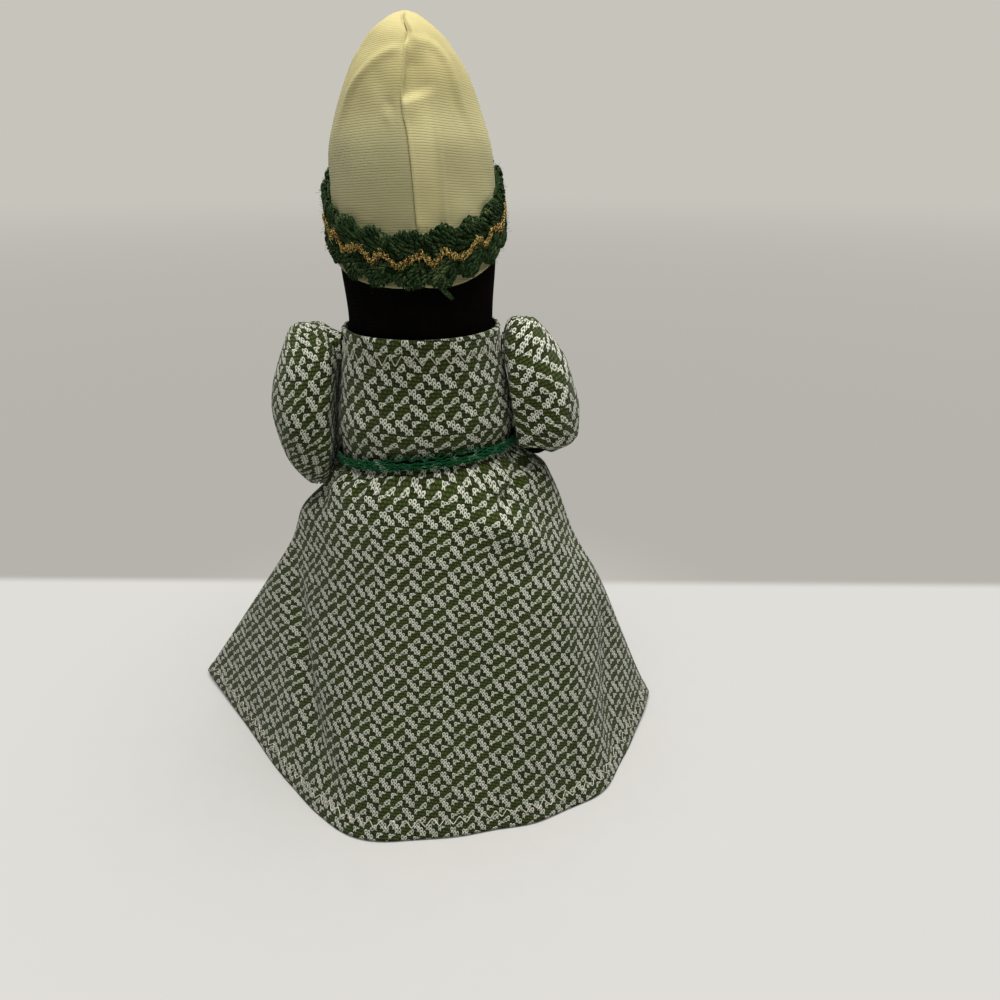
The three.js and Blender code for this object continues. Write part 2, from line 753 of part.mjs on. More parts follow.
function sideOfBodice(side, height) {
  const line = waistHeight(side > 0 ? 0 : Math.PI);
  const level = Math.min(1, Math.max(0, (neckHeight - height) / (neckHeight - line)));
  const pastCord = 1 - ramp(height, line + waist.bandHeight, line + 3 * waist.bandHeight);
  return bodyShape(level)[0] + dressOut + cordStack * pastCord;
}

function sleeveRings(side, stations, inset) {
  const [top, bottom] = [stations[0].up, stations[stations.length - 1].up];
  const middle = (top + bottom) / 2;
  const shrink = 1 - (2 * inset) / (top - bottom);
  const rows = through(stations.map((row, i) => [
    i,
    shoulderHeight + middle + (row.up - middle) * shrink,
    sideOfBodice(side, shoulderHeight + row.up) + row.standOff + inset,
    row.width - 2 * inset,
    row.halfDepth - inset,
    row.forward,
  ]));
  return evenly(stations.length + 1, 0, stations.length - 1).map((place) => {
    const [height, wall, width, halfDepth, forward] = rows(place);
    const core = wall + sleeveCore * width;
    return evenly(sleeveSides).slice(0, sleeveSides).map((part) => {
      const [cosine, sine] = [Math.cos(part * turn), Math.sin(part * turn)];
      const x = cosine > 0
        ? core + (wall + width - core) * cosine
        : core - (core - wall) * (-cosine) ** sleeveFlatness;
      return new THREE.Vector3(side * x, halfDepth * sine - forward, height);
    });
  });
}

const sleeveMouth = Math.hypot(root.ballRadius, root.neckRadius) + gap;

function sleeve(side, stations) {
  return cut(
    solidThrough(sleeveRings(side, stations, 0)),
    solidThrough(sleeveRings(side, stations, knitCloth)),
    ballAt(pivotOf(side), sleeveMouth),
    armTube(side, -sleeveEase, 1),
  );
}

for (const [name, side, stations] of [['left', 1, leftSleeve], ['right', -1, rightSleeve]]) {
  const arm = new THREE.Group();
  doll.add(arm);
  add(`shoulder_root_${name}`, shoulderRoot(side), 'blackCloth', arm);
  add(`arm_${name}_cover`, armCover(side), 'blackCloth', arm);
  add(`arm_${name}_stuffing`, armStuffing(side), 'stuffing', arm);
  add(`sleeve_${name}`, sleeve(side, stations), 'knit', arm);
}

// Hat: two panels of ribbed knit, sewn together down the middle of the front and the back

const brimHalfWidth = head.halfWidth + hatEase + hatCloth;
const brimHalfDepth = head.halfDepth + hatEase + hatCloth;
const hatShape = through([
  ...hatOutline.map((row) => [row.height, row.sideInset, row.depthInset]),
  [1, 1 - tipHalfWidth / brimHalfWidth, 1 - tipHalfWidth / brimHalfDepth],
]);

function hatPoint(angle, height, outside = 0) {
  const share = (height - wideHeight) / (tipHeight - wideHeight);
  const [sideInset, depthInset] = hatShape(share);
  const lean = hatLean * ramp(share, hatOutline[1].height, hatOutline[3].height);
  return new THREE.Vector3(
    lean + (brimHalfWidth * (1 - sideInset) + outside) * Math.cos(angle),
    (brimHalfDepth * (1 - depthInset) + outside) * Math.sin(angle),
    height,
  );
}

function trimHeight(angle) {
  return wideHeight + trim.rise - trim.tilt * brimHalfDepth * Math.sin(angle);
}

const hatEdgeDrop = trim.rowHeight + trim.rowSpacing / 2 + hatEdgeBelowTrim;

function hatPanel(side) {
  const surface = (share, rise) => {
    const angle = front + side * Math.PI * share;
    const edge = trimHeight(angle) - hatEdgeDrop;
    const point = hatPoint(angle, mix(edge, tipHeight, rise));
    point.x += side * gap / 2;
    return point;
  };
  return clothOf(surface, evenly(hatColumns), evenly(hatRows), hatCloth);
}

add('hat_panel_left', hatPanel(1), 'hat', hat);
add('hat_panel_right', hatPanel(-1), 'hat', hat);

// Trim: two mirrored rows of crocheted shells, with a gold thread zigzagging where they meet

const trimStand = 1.5 * gap;

function trimPoint(angle, rise, outside) {
  return hatPoint(angle, trimHeight(angle) + rise, trimStand + outside);
}

function trimRow(direction) {
  const steps = shellCount * trimStepsPerShell;
  const rings = evenly(steps).slice(0, steps).map((part) => {
    const angle = part * turn;
    const bulge = Math.abs(Math.sin(shellCount * angle / 2));
    const tall = trim.rowHeight - scallopDepth * (1 - bulge);
    const thick = trim.thickness * mix(thinnessBetweenShells, 1, bulge);
    const start = trim.rowSpacing / 2;
    const section = [
      [start, 0], [tall / 2, gap / 2], [tall, 0], [tall, trim.edgeThickness],
      [0.72 * tall, 0.92 * thick], [0.35 * tall, thick], [start, 0.55 * thick],
    ];
    return section.map(([rise, out]) => trimPoint(angle, direction * rise, out));
  });
  return loopThrough(rings);
}

add('trim_upper_row', trimRow(1), 'trimYarn', hat);
add('trim_lower_row', trimRow(-1), 'trimYarn', hat);

const goldRings = evenly(goldThread.bends).slice(0, goldThread.bends).map((part, i) => {
  const rise = i % 2 === 0 ? goldThread.reach : -goldThread.reach;
  const stand = trim.thickness + gap + goldThread.radius;
  const section = [[0, 1], [1, 0], [0, -1], [-1, 0]];
  return section.map(([up, out]) => trimPoint(
    part * turn,
    rise + up * goldThread.radius,
    stand + out * goldThread.radius,
  ));
});
add('gold_thread', loopThrough(goldRings), 'gold', hat);

// A short end of yarn hanging below the trim, beside the seam at the back
const yarnPoints = [0, 0.4, 0.75, 1].map((share) => {
  const drop = trim.rowHeight + 2 * gap + share * yarnEnd.length;
  const stand = 2 * yarnEnd.radius + gap * Math.sin(share * Math.PI);
  return trimPoint(radians(yarnEnd.direction + share * yarnEnd.drift), -drop, stand);
});
const yarnLine = new THREE.CatmullRomCurve3(yarnPoints);
add('trim_yarn_end', tube(yarnLine, () => yarnEnd.radius, 6, cordSides), 'trimYarn', hat);

export default doll;
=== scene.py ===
"""Cloth doll with a pointed knit hat, a puff-sleeved dress and a wide skirt: looks and light.

Sizes in this file are millimetres until a mesh is made, and repeat the named values of the
solids. The doll faces -Y, its left hand is at +X, and the picture is taken from behind.
"""
import math
from functools import partial

import bpy
import numpy as np
from numpy import clip, concatenate, cos, linspace, maximum, minimum, radians, sin, where
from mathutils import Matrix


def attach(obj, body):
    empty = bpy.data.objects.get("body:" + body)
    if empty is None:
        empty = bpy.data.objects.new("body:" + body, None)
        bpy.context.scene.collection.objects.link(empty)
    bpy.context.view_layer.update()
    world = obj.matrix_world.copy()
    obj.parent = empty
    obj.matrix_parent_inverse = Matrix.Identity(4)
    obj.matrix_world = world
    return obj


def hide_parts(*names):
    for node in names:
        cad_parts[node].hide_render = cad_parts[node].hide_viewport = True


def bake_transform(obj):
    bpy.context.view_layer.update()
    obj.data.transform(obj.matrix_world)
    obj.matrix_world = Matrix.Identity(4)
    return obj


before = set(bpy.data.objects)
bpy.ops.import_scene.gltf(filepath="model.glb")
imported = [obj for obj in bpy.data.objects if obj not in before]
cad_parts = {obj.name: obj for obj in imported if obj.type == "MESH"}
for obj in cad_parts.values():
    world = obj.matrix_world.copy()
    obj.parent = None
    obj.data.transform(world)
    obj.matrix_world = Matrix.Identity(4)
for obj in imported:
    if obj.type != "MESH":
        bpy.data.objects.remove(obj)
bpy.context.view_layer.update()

MM = 0.001
TURN = 2 * math.pi
SCENE = bpy.context.scene


# Camera

def put(name, data):
    """A new object in the scene."""
    thing = bpy.data.objects.new(name, data)
    SCENE.collection.objects.link(thing)
    return thing


camera = put("camera", bpy.data.cameras.new("camera"))
camera.location = (-0.038, 0.366, 0.300)
camera.rotation_euler = (math.radians(65), 0, math.pi)
camera.data.lens = 27.036
camera.data.sensor_width = 36
camera.data.clip_start = 0.01
SCENE.camera = camera
SCENE.view_settings.view_transform = "Standard"


# Arithmetic

def mix(a, b, share):
    return a + (b - a) * share


def ramp(value, low, high):
    share = clip((value - low) / (high - low), 0, 1)
    return share * share * (3 - 2 * share)


def fade(value, low, high):
    return 1 - ramp(value, low, high)


def swell(value, start, full, end):
    return ramp(value, start, full) * fade(value, full, end)


def bell(distance, width):
    return np.exp(-(distance / width) ** 2)


def through(rows):
    """A smooth curve through rows of numbers, by the first number of each row."""
    rows = np.array(rows, float)
    places, values = rows[:, 0], rows[:, 1:]
    last = len(places) - 1

    def at(place):
        place = np.asarray(place, float)
        i = clip(np.searchsorted(places, place, side="right"), 1, last)
        before, after = where(i >= 2, i - 2, i), where(i < last, i + 1, i - 1)
        t0, t1, v0, v1 = places[i - 1], places[i], values[i - 1], values[i]
        p = clip((place - t0) / (t1 - t0), 0, 1)
        leave = p * (1 - p) ** 2 * (t1 - t0) / 2 / (t0 - places[before])
        reach = p * p * (p - 1) * (t1 - t0) / 2 / (places[after] - t1)
        share = p * (0.5 + p * (1.5 - p))
        return (mix(v0, v1, share[..., None]) + leave[..., None] * (v0 - values[before])
                + reach[..., None] * (values[after] - v1))

    return at


def unit(vectors):
    return vectors / maximum(np.linalg.norm(vectors, axis=-1, keepdims=True), 1e-9)


def stacked(*values):
    """Coordinates made into points, each as wide as all of them together."""
    return np.stack(np.broadcast_arrays(*values), -1)


def pushed(points, out):
    """Points moved level, away from the doll's middle."""
    return points + unit(points * (1, 1, 0)) * np.asarray(out)[..., None]


def lengths_along(lines):
    """How far along its line each point lies."""
    steps = np.linalg.norm(np.diff(lines, axis=-2), axis=-1)
    return concatenate([np.zeros((*steps.shape[:-1], 1)), np.cumsum(steps, -1)], -1)


def rings_around(count):
    return np.arange(count)[None, :] * TURN / count


def ripple(points, wavelength, seed, count=9):
    """A gentle random relief over space, about -1 to 1."""
    rng = np.random.default_rng(seed)
    ways = rng.normal(size=(count, points.shape[-1]))
    ways /= np.linalg.norm(ways, axis=1, keepdims=True)
    ways *= (TURN / (wavelength * rng.uniform(0.7, 1.6, count)))[:, None]
    return sin(points @ ways.T + rng.uniform(0, TURN, count)).sum(-1) / math.sqrt(count)


def grid_normals(grid, wraps=False):
    """Normals of a grid of points, turned away from the grid's own middle axis."""
    if wraps:
        wide = concatenate([grid[:, -1:], grid, grid[:, :1]], 1)
        across = (wide[:, 2:] - wide[:, :-2]) / 2
    else:
        across = np.gradient(grid, axis=1)
    normals = unit(np.cross(across, np.gradient(grid, axis=0)))
    outward = ((grid - grid.mean(axis=(0, 1)))[..., :2] * normals[..., :2]).sum(-1)
    return normals * (1 if np.median(outward) > 0 else -1)


# Meshes: a shape is its points, groups of faces, and UV or None

def grid_faces(rows, columns, wraps=False, first=0):
    r = np.arange(rows - 1)[:, None]
    c = np.arange(columns if wraps else columns - 1)[None, :]
    a = first + r * columns + c
    b = first + r * columns + (c + 1) % columns
    return stacked(a, a + columns, b + columns, b).reshape(-1, 4)


def facing_out(points, faces):
    """The faces, all turned round where together they face into their solid."""
    volume = 0.0
    for group in faces:
        for k in range(1, group.shape[1] - 1):
            a, b, c = (points[group[:, corner]] for corner in (0, k, k + 1))
            volume += (a * np.cross(b, c)).sum()
    return [group[:, ::-1] for group in faces] if volume < 0 else faces


def add(name, shape, material, body, slot, *replaces):
    """A piece of the doll: its shape, its finish, the body it rides on, if it rides on one alone,
    and the nodes it stands for."""
    points, faces, uv = shape
    faces = facing_out(points, faces)
    mesh = bpy.data.meshes.new(name)
    mesh.vertices.add(len(points))
    mesh.vertices.foreach_set("co", (points * MM).ravel())
    corners = concatenate([group.ravel() for group in faces])
    sizes = concatenate([np.full(len(group), group.shape[1]) for group in faces])
    mesh.loops.add(len(corners))
    mesh.loops.foreach_set("vertex_index", corners)
    mesh.polygons.add(len(sizes))
    mesh.polygons.foreach_set("loop_start", np.cumsum(sizes) - sizes)
    mesh.polygons.foreach_set("use_smooth", np.ones(len(sizes), bool))
    if uv is not None:
        mesh.uv_layers.new(name="stitches").data.foreach_set("uv", uv[corners].ravel())
    mesh.update(calc_edges=True)
    mesh.validate()
    mesh.materials.append(material)
    piece = put(name, mesh)
    if body:
        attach(piece, body)
    if replaces:
        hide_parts(*replaces)
    return piece


def both(outer, inner):
    """The rows of two grids, one after the other."""
    return np.stack([outer, inner]).reshape(-1, outer.shape[-1])


def sheet_between(outer, inner, wraps=False, uv=None):
    """A cloth between an outer and an inner grid."""
    rows, columns = outer.shape[:2]
    other = rows * columns
    faces = [grid_faces(rows, columns, wraps), grid_faces(rows, columns, wraps, other)[:, ::-1]]
    around = np.arange(columns + wraps) % columns
    rims = [around, ((rows - 1) * columns + around)[::-1]]
    if not wraps:
        down = np.arange(rows) * columns
        rims += [down[::-1], down + columns - 1]
    for rim in rims:
        a, b = rim[:-1], rim[1:]
        faces.append(stacked(a, b, other + b, other + a))
    return both(outer, inner), faces, None if uv is None else both(uv, uv)


def closed_rings(rings):
    """A solid through rings, closed by a fan at each end."""
    rows, columns = rings.shape[:2]
    points = concatenate([rings.reshape(-1, 3), rings[[0, -1]].mean(axis=1)])
    c, middle = np.arange(columns), rows * columns
    after, end = (c + 1) % columns, middle - columns
    fans = [stacked(middle, c, after), stacked(middle + 1, end + after, end + c)]
    return points, [grid_faces(rows, columns, True), *fans], None


def tubes(paths, radius, reference, sides=6):
    """Round tubes along paths of equal length: (paths, points, 3)."""
    paths = np.asarray(paths, float)
    count, length = paths.shape[:2]
    tangent = unit(np.gradient(paths, axis=1))
    side = unit(np.cross(tangent, np.broadcast_to(reference, paths.shape)))
    up = np.cross(side, tangent)
    turns = np.arange(sides) * TURN / sides
    radius = np.broadcast_to(radius, (count, length))[..., None, None]
    rings = paths[:, :, None] + radius * (
        cos(turns)[:, None] * side[:, :, None] + sin(turns)[:, None] * up[:, :, None])
    first = np.arange(count)[:, None, None] * length * sides
    body = (grid_faces(length, sides, True)[None] + first).reshape(-1, 4)
    ring = np.arange(sides)[None, :] + first[:, :, 0]
    ends = concatenate([ring[:, ::-1], ring + (length - 1) * sides])
    uv = stacked(turns / TURN, lengths_along(paths)[..., None])
    return rings.reshape(-1, 3), [body, ends], uv.reshape(-1, 2)


def together(*shapes):
    """Several shapes made into one."""
    faces, first = [], 0
    for points, groups, _ in shapes:
        faces += [group + first for group in facing_out(points, groups)]
        first += len(points)
    points, _, uv = zip(*shapes)
    return concatenate(points), faces, concatenate(uv)


# Materials

class Wire:
    """A value in a node tree, with plain arithmetic."""

    def __init__(self, socket):
        self.tree, self.socket = socket.id_data, socket

    def math(self, operation, *values):
        node = self.tree.nodes.new("ShaderNodeMath")
        node.operation = operation
        for socket, value in zip(node.inputs, values):
            link(value, socket)
        return Wire(node.outputs[0])

    def __rsub__(self, other):
        return self.math("SUBTRACT", other, self)

    def bell(self, middle, width):
        """1 at the middle, falling to nothing a few widths away."""
        away = (self - middle) / width
        return (away * away * -1).exponent()

    def between(self, low, high):
        """Rises smoothly from 0 at the low value to 1 at the high one."""
        node = new_node(self.tree, "MapRange", Value=self, From_Min=low, From_Max=high)
        node.interpolation_type = "SMOOTHSTEP"
        return Wire(node.outputs["Result"])


def operator(operation):
    return lambda self, *others: self.math(operation, self, *others)


for method, operation in (
    ("__add__", "ADD"), ("__radd__", "ADD"), ("__sub__", "SUBTRACT"), ("__mul__", "MULTIPLY"),
    ("__rmul__", "MULTIPLY"), ("__truediv__", "DIVIDE"), ("floor", "FLOOR"), ("root", "SQRT"),
    ("modulo", "FLOORED_MODULO"), ("over", "GREATER_THAN"), ("under", "LESS_THAN"),
    ("absolute", "ABSOLUTE"), ("sine", "SINE"), ("exponent", "EXPONENT"), ("larger", "MAXIMUM"),
):
    setattr(Wire, method, operator(operation))


def light_of(value):
    """A part of a colour from 0 to 255 as it is seen, given as the renderer works with it."""
    value /= 255
    return value / 12.92 if value <= 0.04045 else ((value + 0.055) / 1.055) ** 2.4


def link(value, socket):
    """Gives a socket a wire, a colour or a number."""
    if isinstance(value, Wire):
        value.tree.links.new(value.socket, socket)
    elif isinstance(value, tuple):
        socket.default_value = (*map(light_of, value), 1)
    else:
        socket.default_value = value


def give(node, **values):
    for name, value in values.items():
        link(value, node.inputs[name.replace("_", " ")])
    return node


def new_node(tree, kind, **values):
    return give(tree.nodes.new("ShaderNode" + kind), **values)


def blend_colour(share, low, high, kind="MIX"):
    """A colour between two others, or by kind MULTIPLY their product."""
    values = {"Factor_Float": share, "A_Color": low, "B_Color": high}
    tree = next(value.tree for value in values.values() if isinstance(value, Wire))
    node = new_node(tree, "Mix")
    node.data_type, node.blend_type = "RGBA", kind
    for socket in node.inputs:
        if socket.identifier in values:
            link(values[socket.identifier], socket)
    return Wire(next(socket for socket in node.outputs if socket.identifier == "Result_Color"))


def noise(vector, scale, detail=2.0, roughness=0.5):
    node = new_node(vector.tree, "TexNoise", Vector=vector, Scale=scale, Detail=detail,
                    Roughness=roughness)
    return Wire(node.outputs["Fac"])


def white_noise(u, v):
    node = new_node(u.tree, "TexWhiteNoise", Vector=join(u, v, 0.0))
    node.noise_dimensions = "2D"
    return Wire(node.outputs["Value"])


def split(vector):
    node = new_node(vector.tree, "SeparateXYZ", Vector=vector)
    return [Wire(output) for output in node.outputs]


def join(x, y, z):
    return Wire(new_node(x.tree, "CombineXYZ", X=x, Y=y, Z=z).outputs[0])


def new_material(name):
    """A material, its shader, and its spots as stitches and in space."""
    material = bpy.data.materials.new(name)
    material.use_nodes = True
    tree = material.node_tree
    place = new_node(tree, "TexCoord")
    uv, spot = Wire(place.outputs["UV"]), Wire(place.outputs["Object"])
    return material, tree.nodes["Principled BSDF"], uv, spot


def cover(shader, tint, height, distance, roughness, specular=0.5, sheen=0.0):
    """Gives a shader its colour, its relief, so many millimetres high, and how it shines."""
    bump = new_node(height.tree, "Bump", Strength=1.0, Distance=distance * MM, Height=height)
    give(shader, Base_Color=tint, Normal=Wire(bump.outputs["Normal"]), Roughness=roughness,
         Specular_IOR_Level=specular, Sheen_Weight=sheen)


REPEAT, CELL = 12, 4


def pale_stitch(column, row):
    """Which stitches of the 12 by 12 repeat are pale, and where a stitch lies in its 4 by 4 cell."""
    column, row = column.modulo(REPEAT), row.modulo(REPEAT)
    cell_column, cell_row = (column / CELL).floor(), (row / CELL).floor()
    i, j = column - cell_column * CELL, row - cell_row * CELL
    pale_cell = (cell_column.over(0.5) - cell_row.over(0.5)).absolute()
    step = i - j
    band = step.over(-0.5) * step.under(1.5) * j.under(2.5)
    lone = i.under(0.5) * j.under(0.5) + i.over(2.5) * j.over(1.5) * j.under(2.5)
    return pale_cell * band + (1 - pale_cell) * lone, 1 - pale_cell, i, j


def stitch_loop(x, y):
    """A loop of pale yarn seen from its middle: a ring above, and two legs into the row below."""
    dx, dy = x / 0.43, (y - 0.12) / 0.60
    ring = (dx * dx + dy * dy).root().bell(0.80, 0.37)
    legs = (x.absolute() - (y * 0.30 - 0.04)).bell(0.0, 0.16)
    return ring.larger(legs * y.between(0.35, 0.6) * (1 - y.between(1.05, 1.35)))


def loop_chain(away, along, pitch):
    """Small loops of pale yarn in a row, from the distance to the row and the place along it."""
    turn = (along / pitch).modulo(1.0) * 2 - 1
    side = away / 0.36
    return (turn * turn + side * side).root().bell(0.78, 0.42)


def knit_material(name):
    """Two-colour jersey knit: UV counts stitches."""
    material, shader, uv, spot = new_material(name)
    u, v, _ = split(uv)
    wander, jitter = noise(uv, 0.11) - 0.5, noise(uv, 0.8, 1.0) - 0.5
    wander_v = noise(join(v + 31.7, u, 0.0), 0.11) - 0.5
    jitter_v = noise(join(v + 11.3, u, 0.0), 0.8, 1.0) - 0.5
    u = u + wander * 1.1 + jitter * 0.5
    v = v + wander_v * 1.1 + jitter_v * 0.5
    column, row = u.floor(), v.floor()
    across, down = u - column, v - row
    x = across - 0.5
    here, plain, i, j = pale_stitch(column, row)
    above = pale_stitch(column, row - 1)[0]
    loops = (here * stitch_loop(x, down - 0.5)).larger(above * stitch_loop(x, down + 0.5))
    # The plain cells have a small arrow: a chain of loops on each side, and a foot below
    beyond, below = i + across, j + down
    right_arm = loop_chain(below - 0.44 + (beyond - 1) * 0.3, beyond, 0.75)
    right_arm = right_arm * i.over(0.5) * (1 - beyond.between(1.9, 2.4))
    left_arm = loop_chain(below - 3.5 + (beyond - 2) * 1.0, beyond, 0.55)
    left_arm = left_arm * i.under(2.5) * beyond.between(1.6, 1.9)
    foot = (below - 3.8).bell(0.0, 0.2) * i.under(2.5) * beyond.between(2.0, 2.3)
    loops = loops.larger(plain * right_arm.larger(left_arm.larger(foot * 0.8)))
    light = (white_noise(column, row) - 0.5) * 0.36 + 1.0
    fibre = noise(spot, 2600, 3.0, 0.7)
    offset = (across + row.modulo(2.0) * 0.5).modulo(1.0)
    # Painted shade: the green yarn darkens from the middle of each bead towards its edges, to near black
    # between the stitches.
    bead = down.bell(0.45, 0.42) * (offset.bell(0.5, 0.32) * 0.65 + 0.35)
    shade = plain * 0.4 + 0.6
    green = blend_colour(bead * (fibre * 1.1 + 0.45) * light * shade, GREEN_SHADE, GREEN_YARN)
    tint = blend_colour((loops * light).between(0.08, 0.95), green, PALE_YARN)
    cloudy = noise(spot, 26) * 0.24 + 0.88
    # Painted shade: the skirt's knit is about a quarter darker than the bodice's and the sleeves'.
    share = cloudy * (fibre * 0.3 + 0.85) * (1.0 - v.between(*SHADED_SKIRT_ROWS) * 0.24)
    tint = blend_colour(1.0, tint, join(share, share, share), "MULTIPLY")
    cover(shader, tint, bead * 0.55 * (1 - loops) + loops + fibre * 0.12, 0.55, 0.9, 0.12, 0.12)
    return material


def hat_material(name):
    """Pale ribbed jersey: V counts ribs, U counts the stitches along a rib. It is thin, so it looks
    greyer where it lies on the black head than over its own seam allowance. That greying is twice as
    strong on the left panel as on the right, which is painted shade."""
    material, shader, uv, spot = new_material(name)
    u, v, _ = split(uv)
    low = (v - HAT_ORIGIN).between(34 / RIB, 66 / RIB)
    beside = u.between(SEAM_STITCH + 12.5, SEAM_STITCH + 15.5)
    # Painted shade: the left panel is greyed twice as much as the right.
    head_showing_and_shade = low * beside * (u.over(HAT_ORIGIN - 59) * 0.5 + 0.5)
    v = v + (noise(uv, 0.16) - 0.5) * 0.5
    row = v.floor()
    rib = 1 - (v - row - 0.5).absolute().between(0.22, 0.5)
    stitch = (u + row * 0.5).modulo(1.0).bell(0.5, 0.32)
    fibre = noise(spot, 3000, 3.0, 0.7)
    cloudy = noise(spot, 30, 3.0).between(0.3, 0.7)
    pale = blend_colour(cloudy, (208, 199, 145), (219, 210, 156))
    dark = blend_colour(cloudy, (152, 143, 92), (165, 156, 103))
    # Painted shade: the knit darkens in the grooves between its ribs and between the stitches along
    # them.
    share = (1 - rib) * (white_noise(row, row) * 0.4 + 0.7) * (1.1 - stitch * 0.3)
    tint = blend_colour(share * 0.62 + (fibre - 0.5) * 0.3, pale, dark)
    tint = blend_colour(head_showing_and_shade * 0.38, tint, (116, 120, 100))
    # Painted shade: the hat darkens towards its top.
    high = split(spot)[2].between(0.296, 0.334)
    tint = blend_colour(high * 0.55, tint, (150, 138, 84))
    cover(shader, tint, rib + stitch * rib * 0.3 + fibre * 0.2, 0.05, 0.85, 0.15, 0.08)
    return material


def yarn_material(name, dark, middle, pale, scale=900, sheen=0.2):
    """Fuzzy yarn with paler and darker stretches."""
    material, shader, _, spot = new_material(name)
    fibre = noise(spot, scale, 4.0, 0.75)
    stretch = noise(spot, scale / 9)
    tint = blend_colour(fibre.between(0.36, 0.6), dark, middle)
    tint = blend_colour((fibre * 0.6 + stretch * 0.6).between(0.62, 0.86), tint, pale)
    cover(shader, tint, fibre, 0.2, 0.9, 0.08, sheen)
    return material


def black_material(name):
    """Matt black cotton with a fine tabby weave and a little brown dust."""
    material, shader, _, spot = new_material(name)
    x, y, z = split(spot)
    weave = ((x + y) * 2600).sine() * (z * 3800).sine()
    dust = noise(spot, 160, 4.0, 0.7)
    tint = blend_colour(dust.between(0.45, 0.8), (7, 5, 4), (15, 12, 10))
    tint = blend_colour(weave.between(-0.2, 1.4), tint, (18, 15, 13))
    cover(shader, tint, weave * 0.5 + dust, 0.15, 0.95, 0.03)
    return material


def gold_material(name):
    """Metallised thread: flat facets that catch the light here and there, as painted highlights of pale
    gold on dark brown, smoother where they lie.
    """
    material, shader, _, spot = new_material(name)
    glint = noise(spot, 1700, 1.0)
    # Painted highlights: pale gold where the noise is high, dark brown elsewhere.
    tint = blend_colour(glint.between(0.49, 0.57), (84, 46, 4), (255, 226, 128))
    cover(shader, tint, glint, 0.3, glint * -0.3 + 0.5)
    give(shader, Metallic=0.3)
    return material


def filling_material(name):
    """Polyester wadding, matted and slightly yellowed."""
    material, shader, _, spot = new_material(name)
    tangle = noise(spot, 420, 6.0, 0.8)
    tint = blend_colour(tangle.between(0.3, 0.7), (206, 201, 189), (240, 237, 229))
    cover(shader, tint, tangle, 0.8, 0.95)
    return material


def card_material(name):
    """Grey-brown board with short fibres."""
    material, shader, _, spot = new_material(name)
    x, y, z = split(spot)
    fibre = noise(join(x * 5, y, z), 700, 5.0, 0.7)
    tint = blend_colour(fibre.between(0.3, 0.7), (150, 124, 88), (188, 160, 120))
    cover(shader, tint, fibre, 0.15, 0.9)
    return material


# The first colour is painted shade: the green yarn's near black between its beads.
GREEN_SHADE, GREEN_YARN, PALE_YARN = (6, 9, 2), (84, 98, 42), (246, 248, 228)
# Where the knit's rows are counted from, and the skirt rows over which its painted shade sets in
KNIT_ORIGIN, SHADED_SKIRT_ROWS = 600.5, (601, 645)
# The hat's rows are as high as a rib, and its U is its way round at this radius
RIB, HAT_ORIGIN, HAT_RADIUS = 1.03, 200.0, 37.4
SEAM_STITCH = HAT_ORIGIN - 1.5 * math.pi * HAT_RADIUS
KNIT = knit_material("dress_knit")
HAT = hat_material("hat_knit")
BLACK = black_material("black_cloth")
TRIM = yarn_material("trim_yarn", (9, 22, 6), (48, 74, 36), (128, 142, 92), 1300, 0.05)
CORD = yarn_material("waist_yarn", (4, 44, 22), (20, 112, 62), (170, 222, 184), 1900, 0.1)
# The core's near-black yarn is painted shade between the cord's strands.
CORD_SHADE = yarn_material("waist_yarn_shade", (0, 8, 4), (0, 22, 10), (4, 40, 20), 1900, 0.0)
FACE = yarn_material("face_thread", (150, 138, 110), (214, 202, 170), (236, 228, 204))
CREAM = yarn_material("seam_thread", (170, 166, 148), (226, 222, 206), (246, 244, 234))
GOLD = gold_material("gold_thread")
FILL = filling_material("stuffing")
CARD = card_material("card")

# Radii of threads and yarns
SEAM_STRAND, FACE_STRAND, CORD_STRAND, KNOT_STRAND = 0.24, 0.26, 0.31, 0.42
POST_YARN, EDGE_YARN, END_YARN, HAIR, GOLD_STRAND = 0.60, 0.42, 0.66, 0.05, 0.16

# Body and dress. A half is a half width and a half depth.
GAP, KNIT_CLOTH, HAT_CLOTH, COVER = 0.3, 1.2, 0.8, 0.8
NECK_Z, SHOULDER_Z, CHEST_Z, BELLY_Z, WAIST_Z = 224.0, 212.0, 191.0, 175.0, 161.5
NECK_HALF, SHOULDER_HALF, WAIST_HALF = (35.8, 36.2), (37.2, 34.6), (42.1, 25.6)
BASE_HALF, BASE_THICK = (38, 36), 1.0
BAND, SIDE_TILT = 4.2, 0.095
WIDE_Z, DOME_Z, CROWN_Z, TIP_Z = 258.0, 266.0, 310.0, 352.0
FLOOR_OF_COVER, CARD_TOP, SEAM_Z = 1.3, 3.3, 220.0
DRESS_OUT = GAP + KNIT_CLOTH
BAND_FALL = BAND / WAIST_Z
BACK, FRONT = 1, -1


def level_of(height):
    return (NECK_Z - height) / (NECK_Z - WAIST_Z)


body_shape = through([
    [0, *NECK_HALF], [level_of(SHOULDER_Z), *SHOULDER_HALF], [level_of(CHEST_Z), 41.0, 32.6],
    [level_of(BELLY_Z), 43.2, 31.6], [level_of(WAIST_Z + BAND), *WAIST_HALF], [1, *WAIST_HALF],
])
lower_shape = through([
    [0, *WAIST_HALF], [BAND_FALL, *WAIST_HALF], [33.5 / WAIST_Z, 38, 33], [1, *BASE_HALF],
])


def waist_height(angle):
    return WAIST_Z - SIDE_TILT * WAIST_HALF[0] * cos(angle)


def around(half, angle, outside, height):
    wide, deep = half[..., 0] + outside, half[..., 1] + outside
    return stacked(wide * cos(angle), deep * sin(angle), height)


def bodice_point(angle, level, outside=0.0):
    return around(body_shape(level), angle, outside, mix(NECK_Z, waist_height(angle), level))


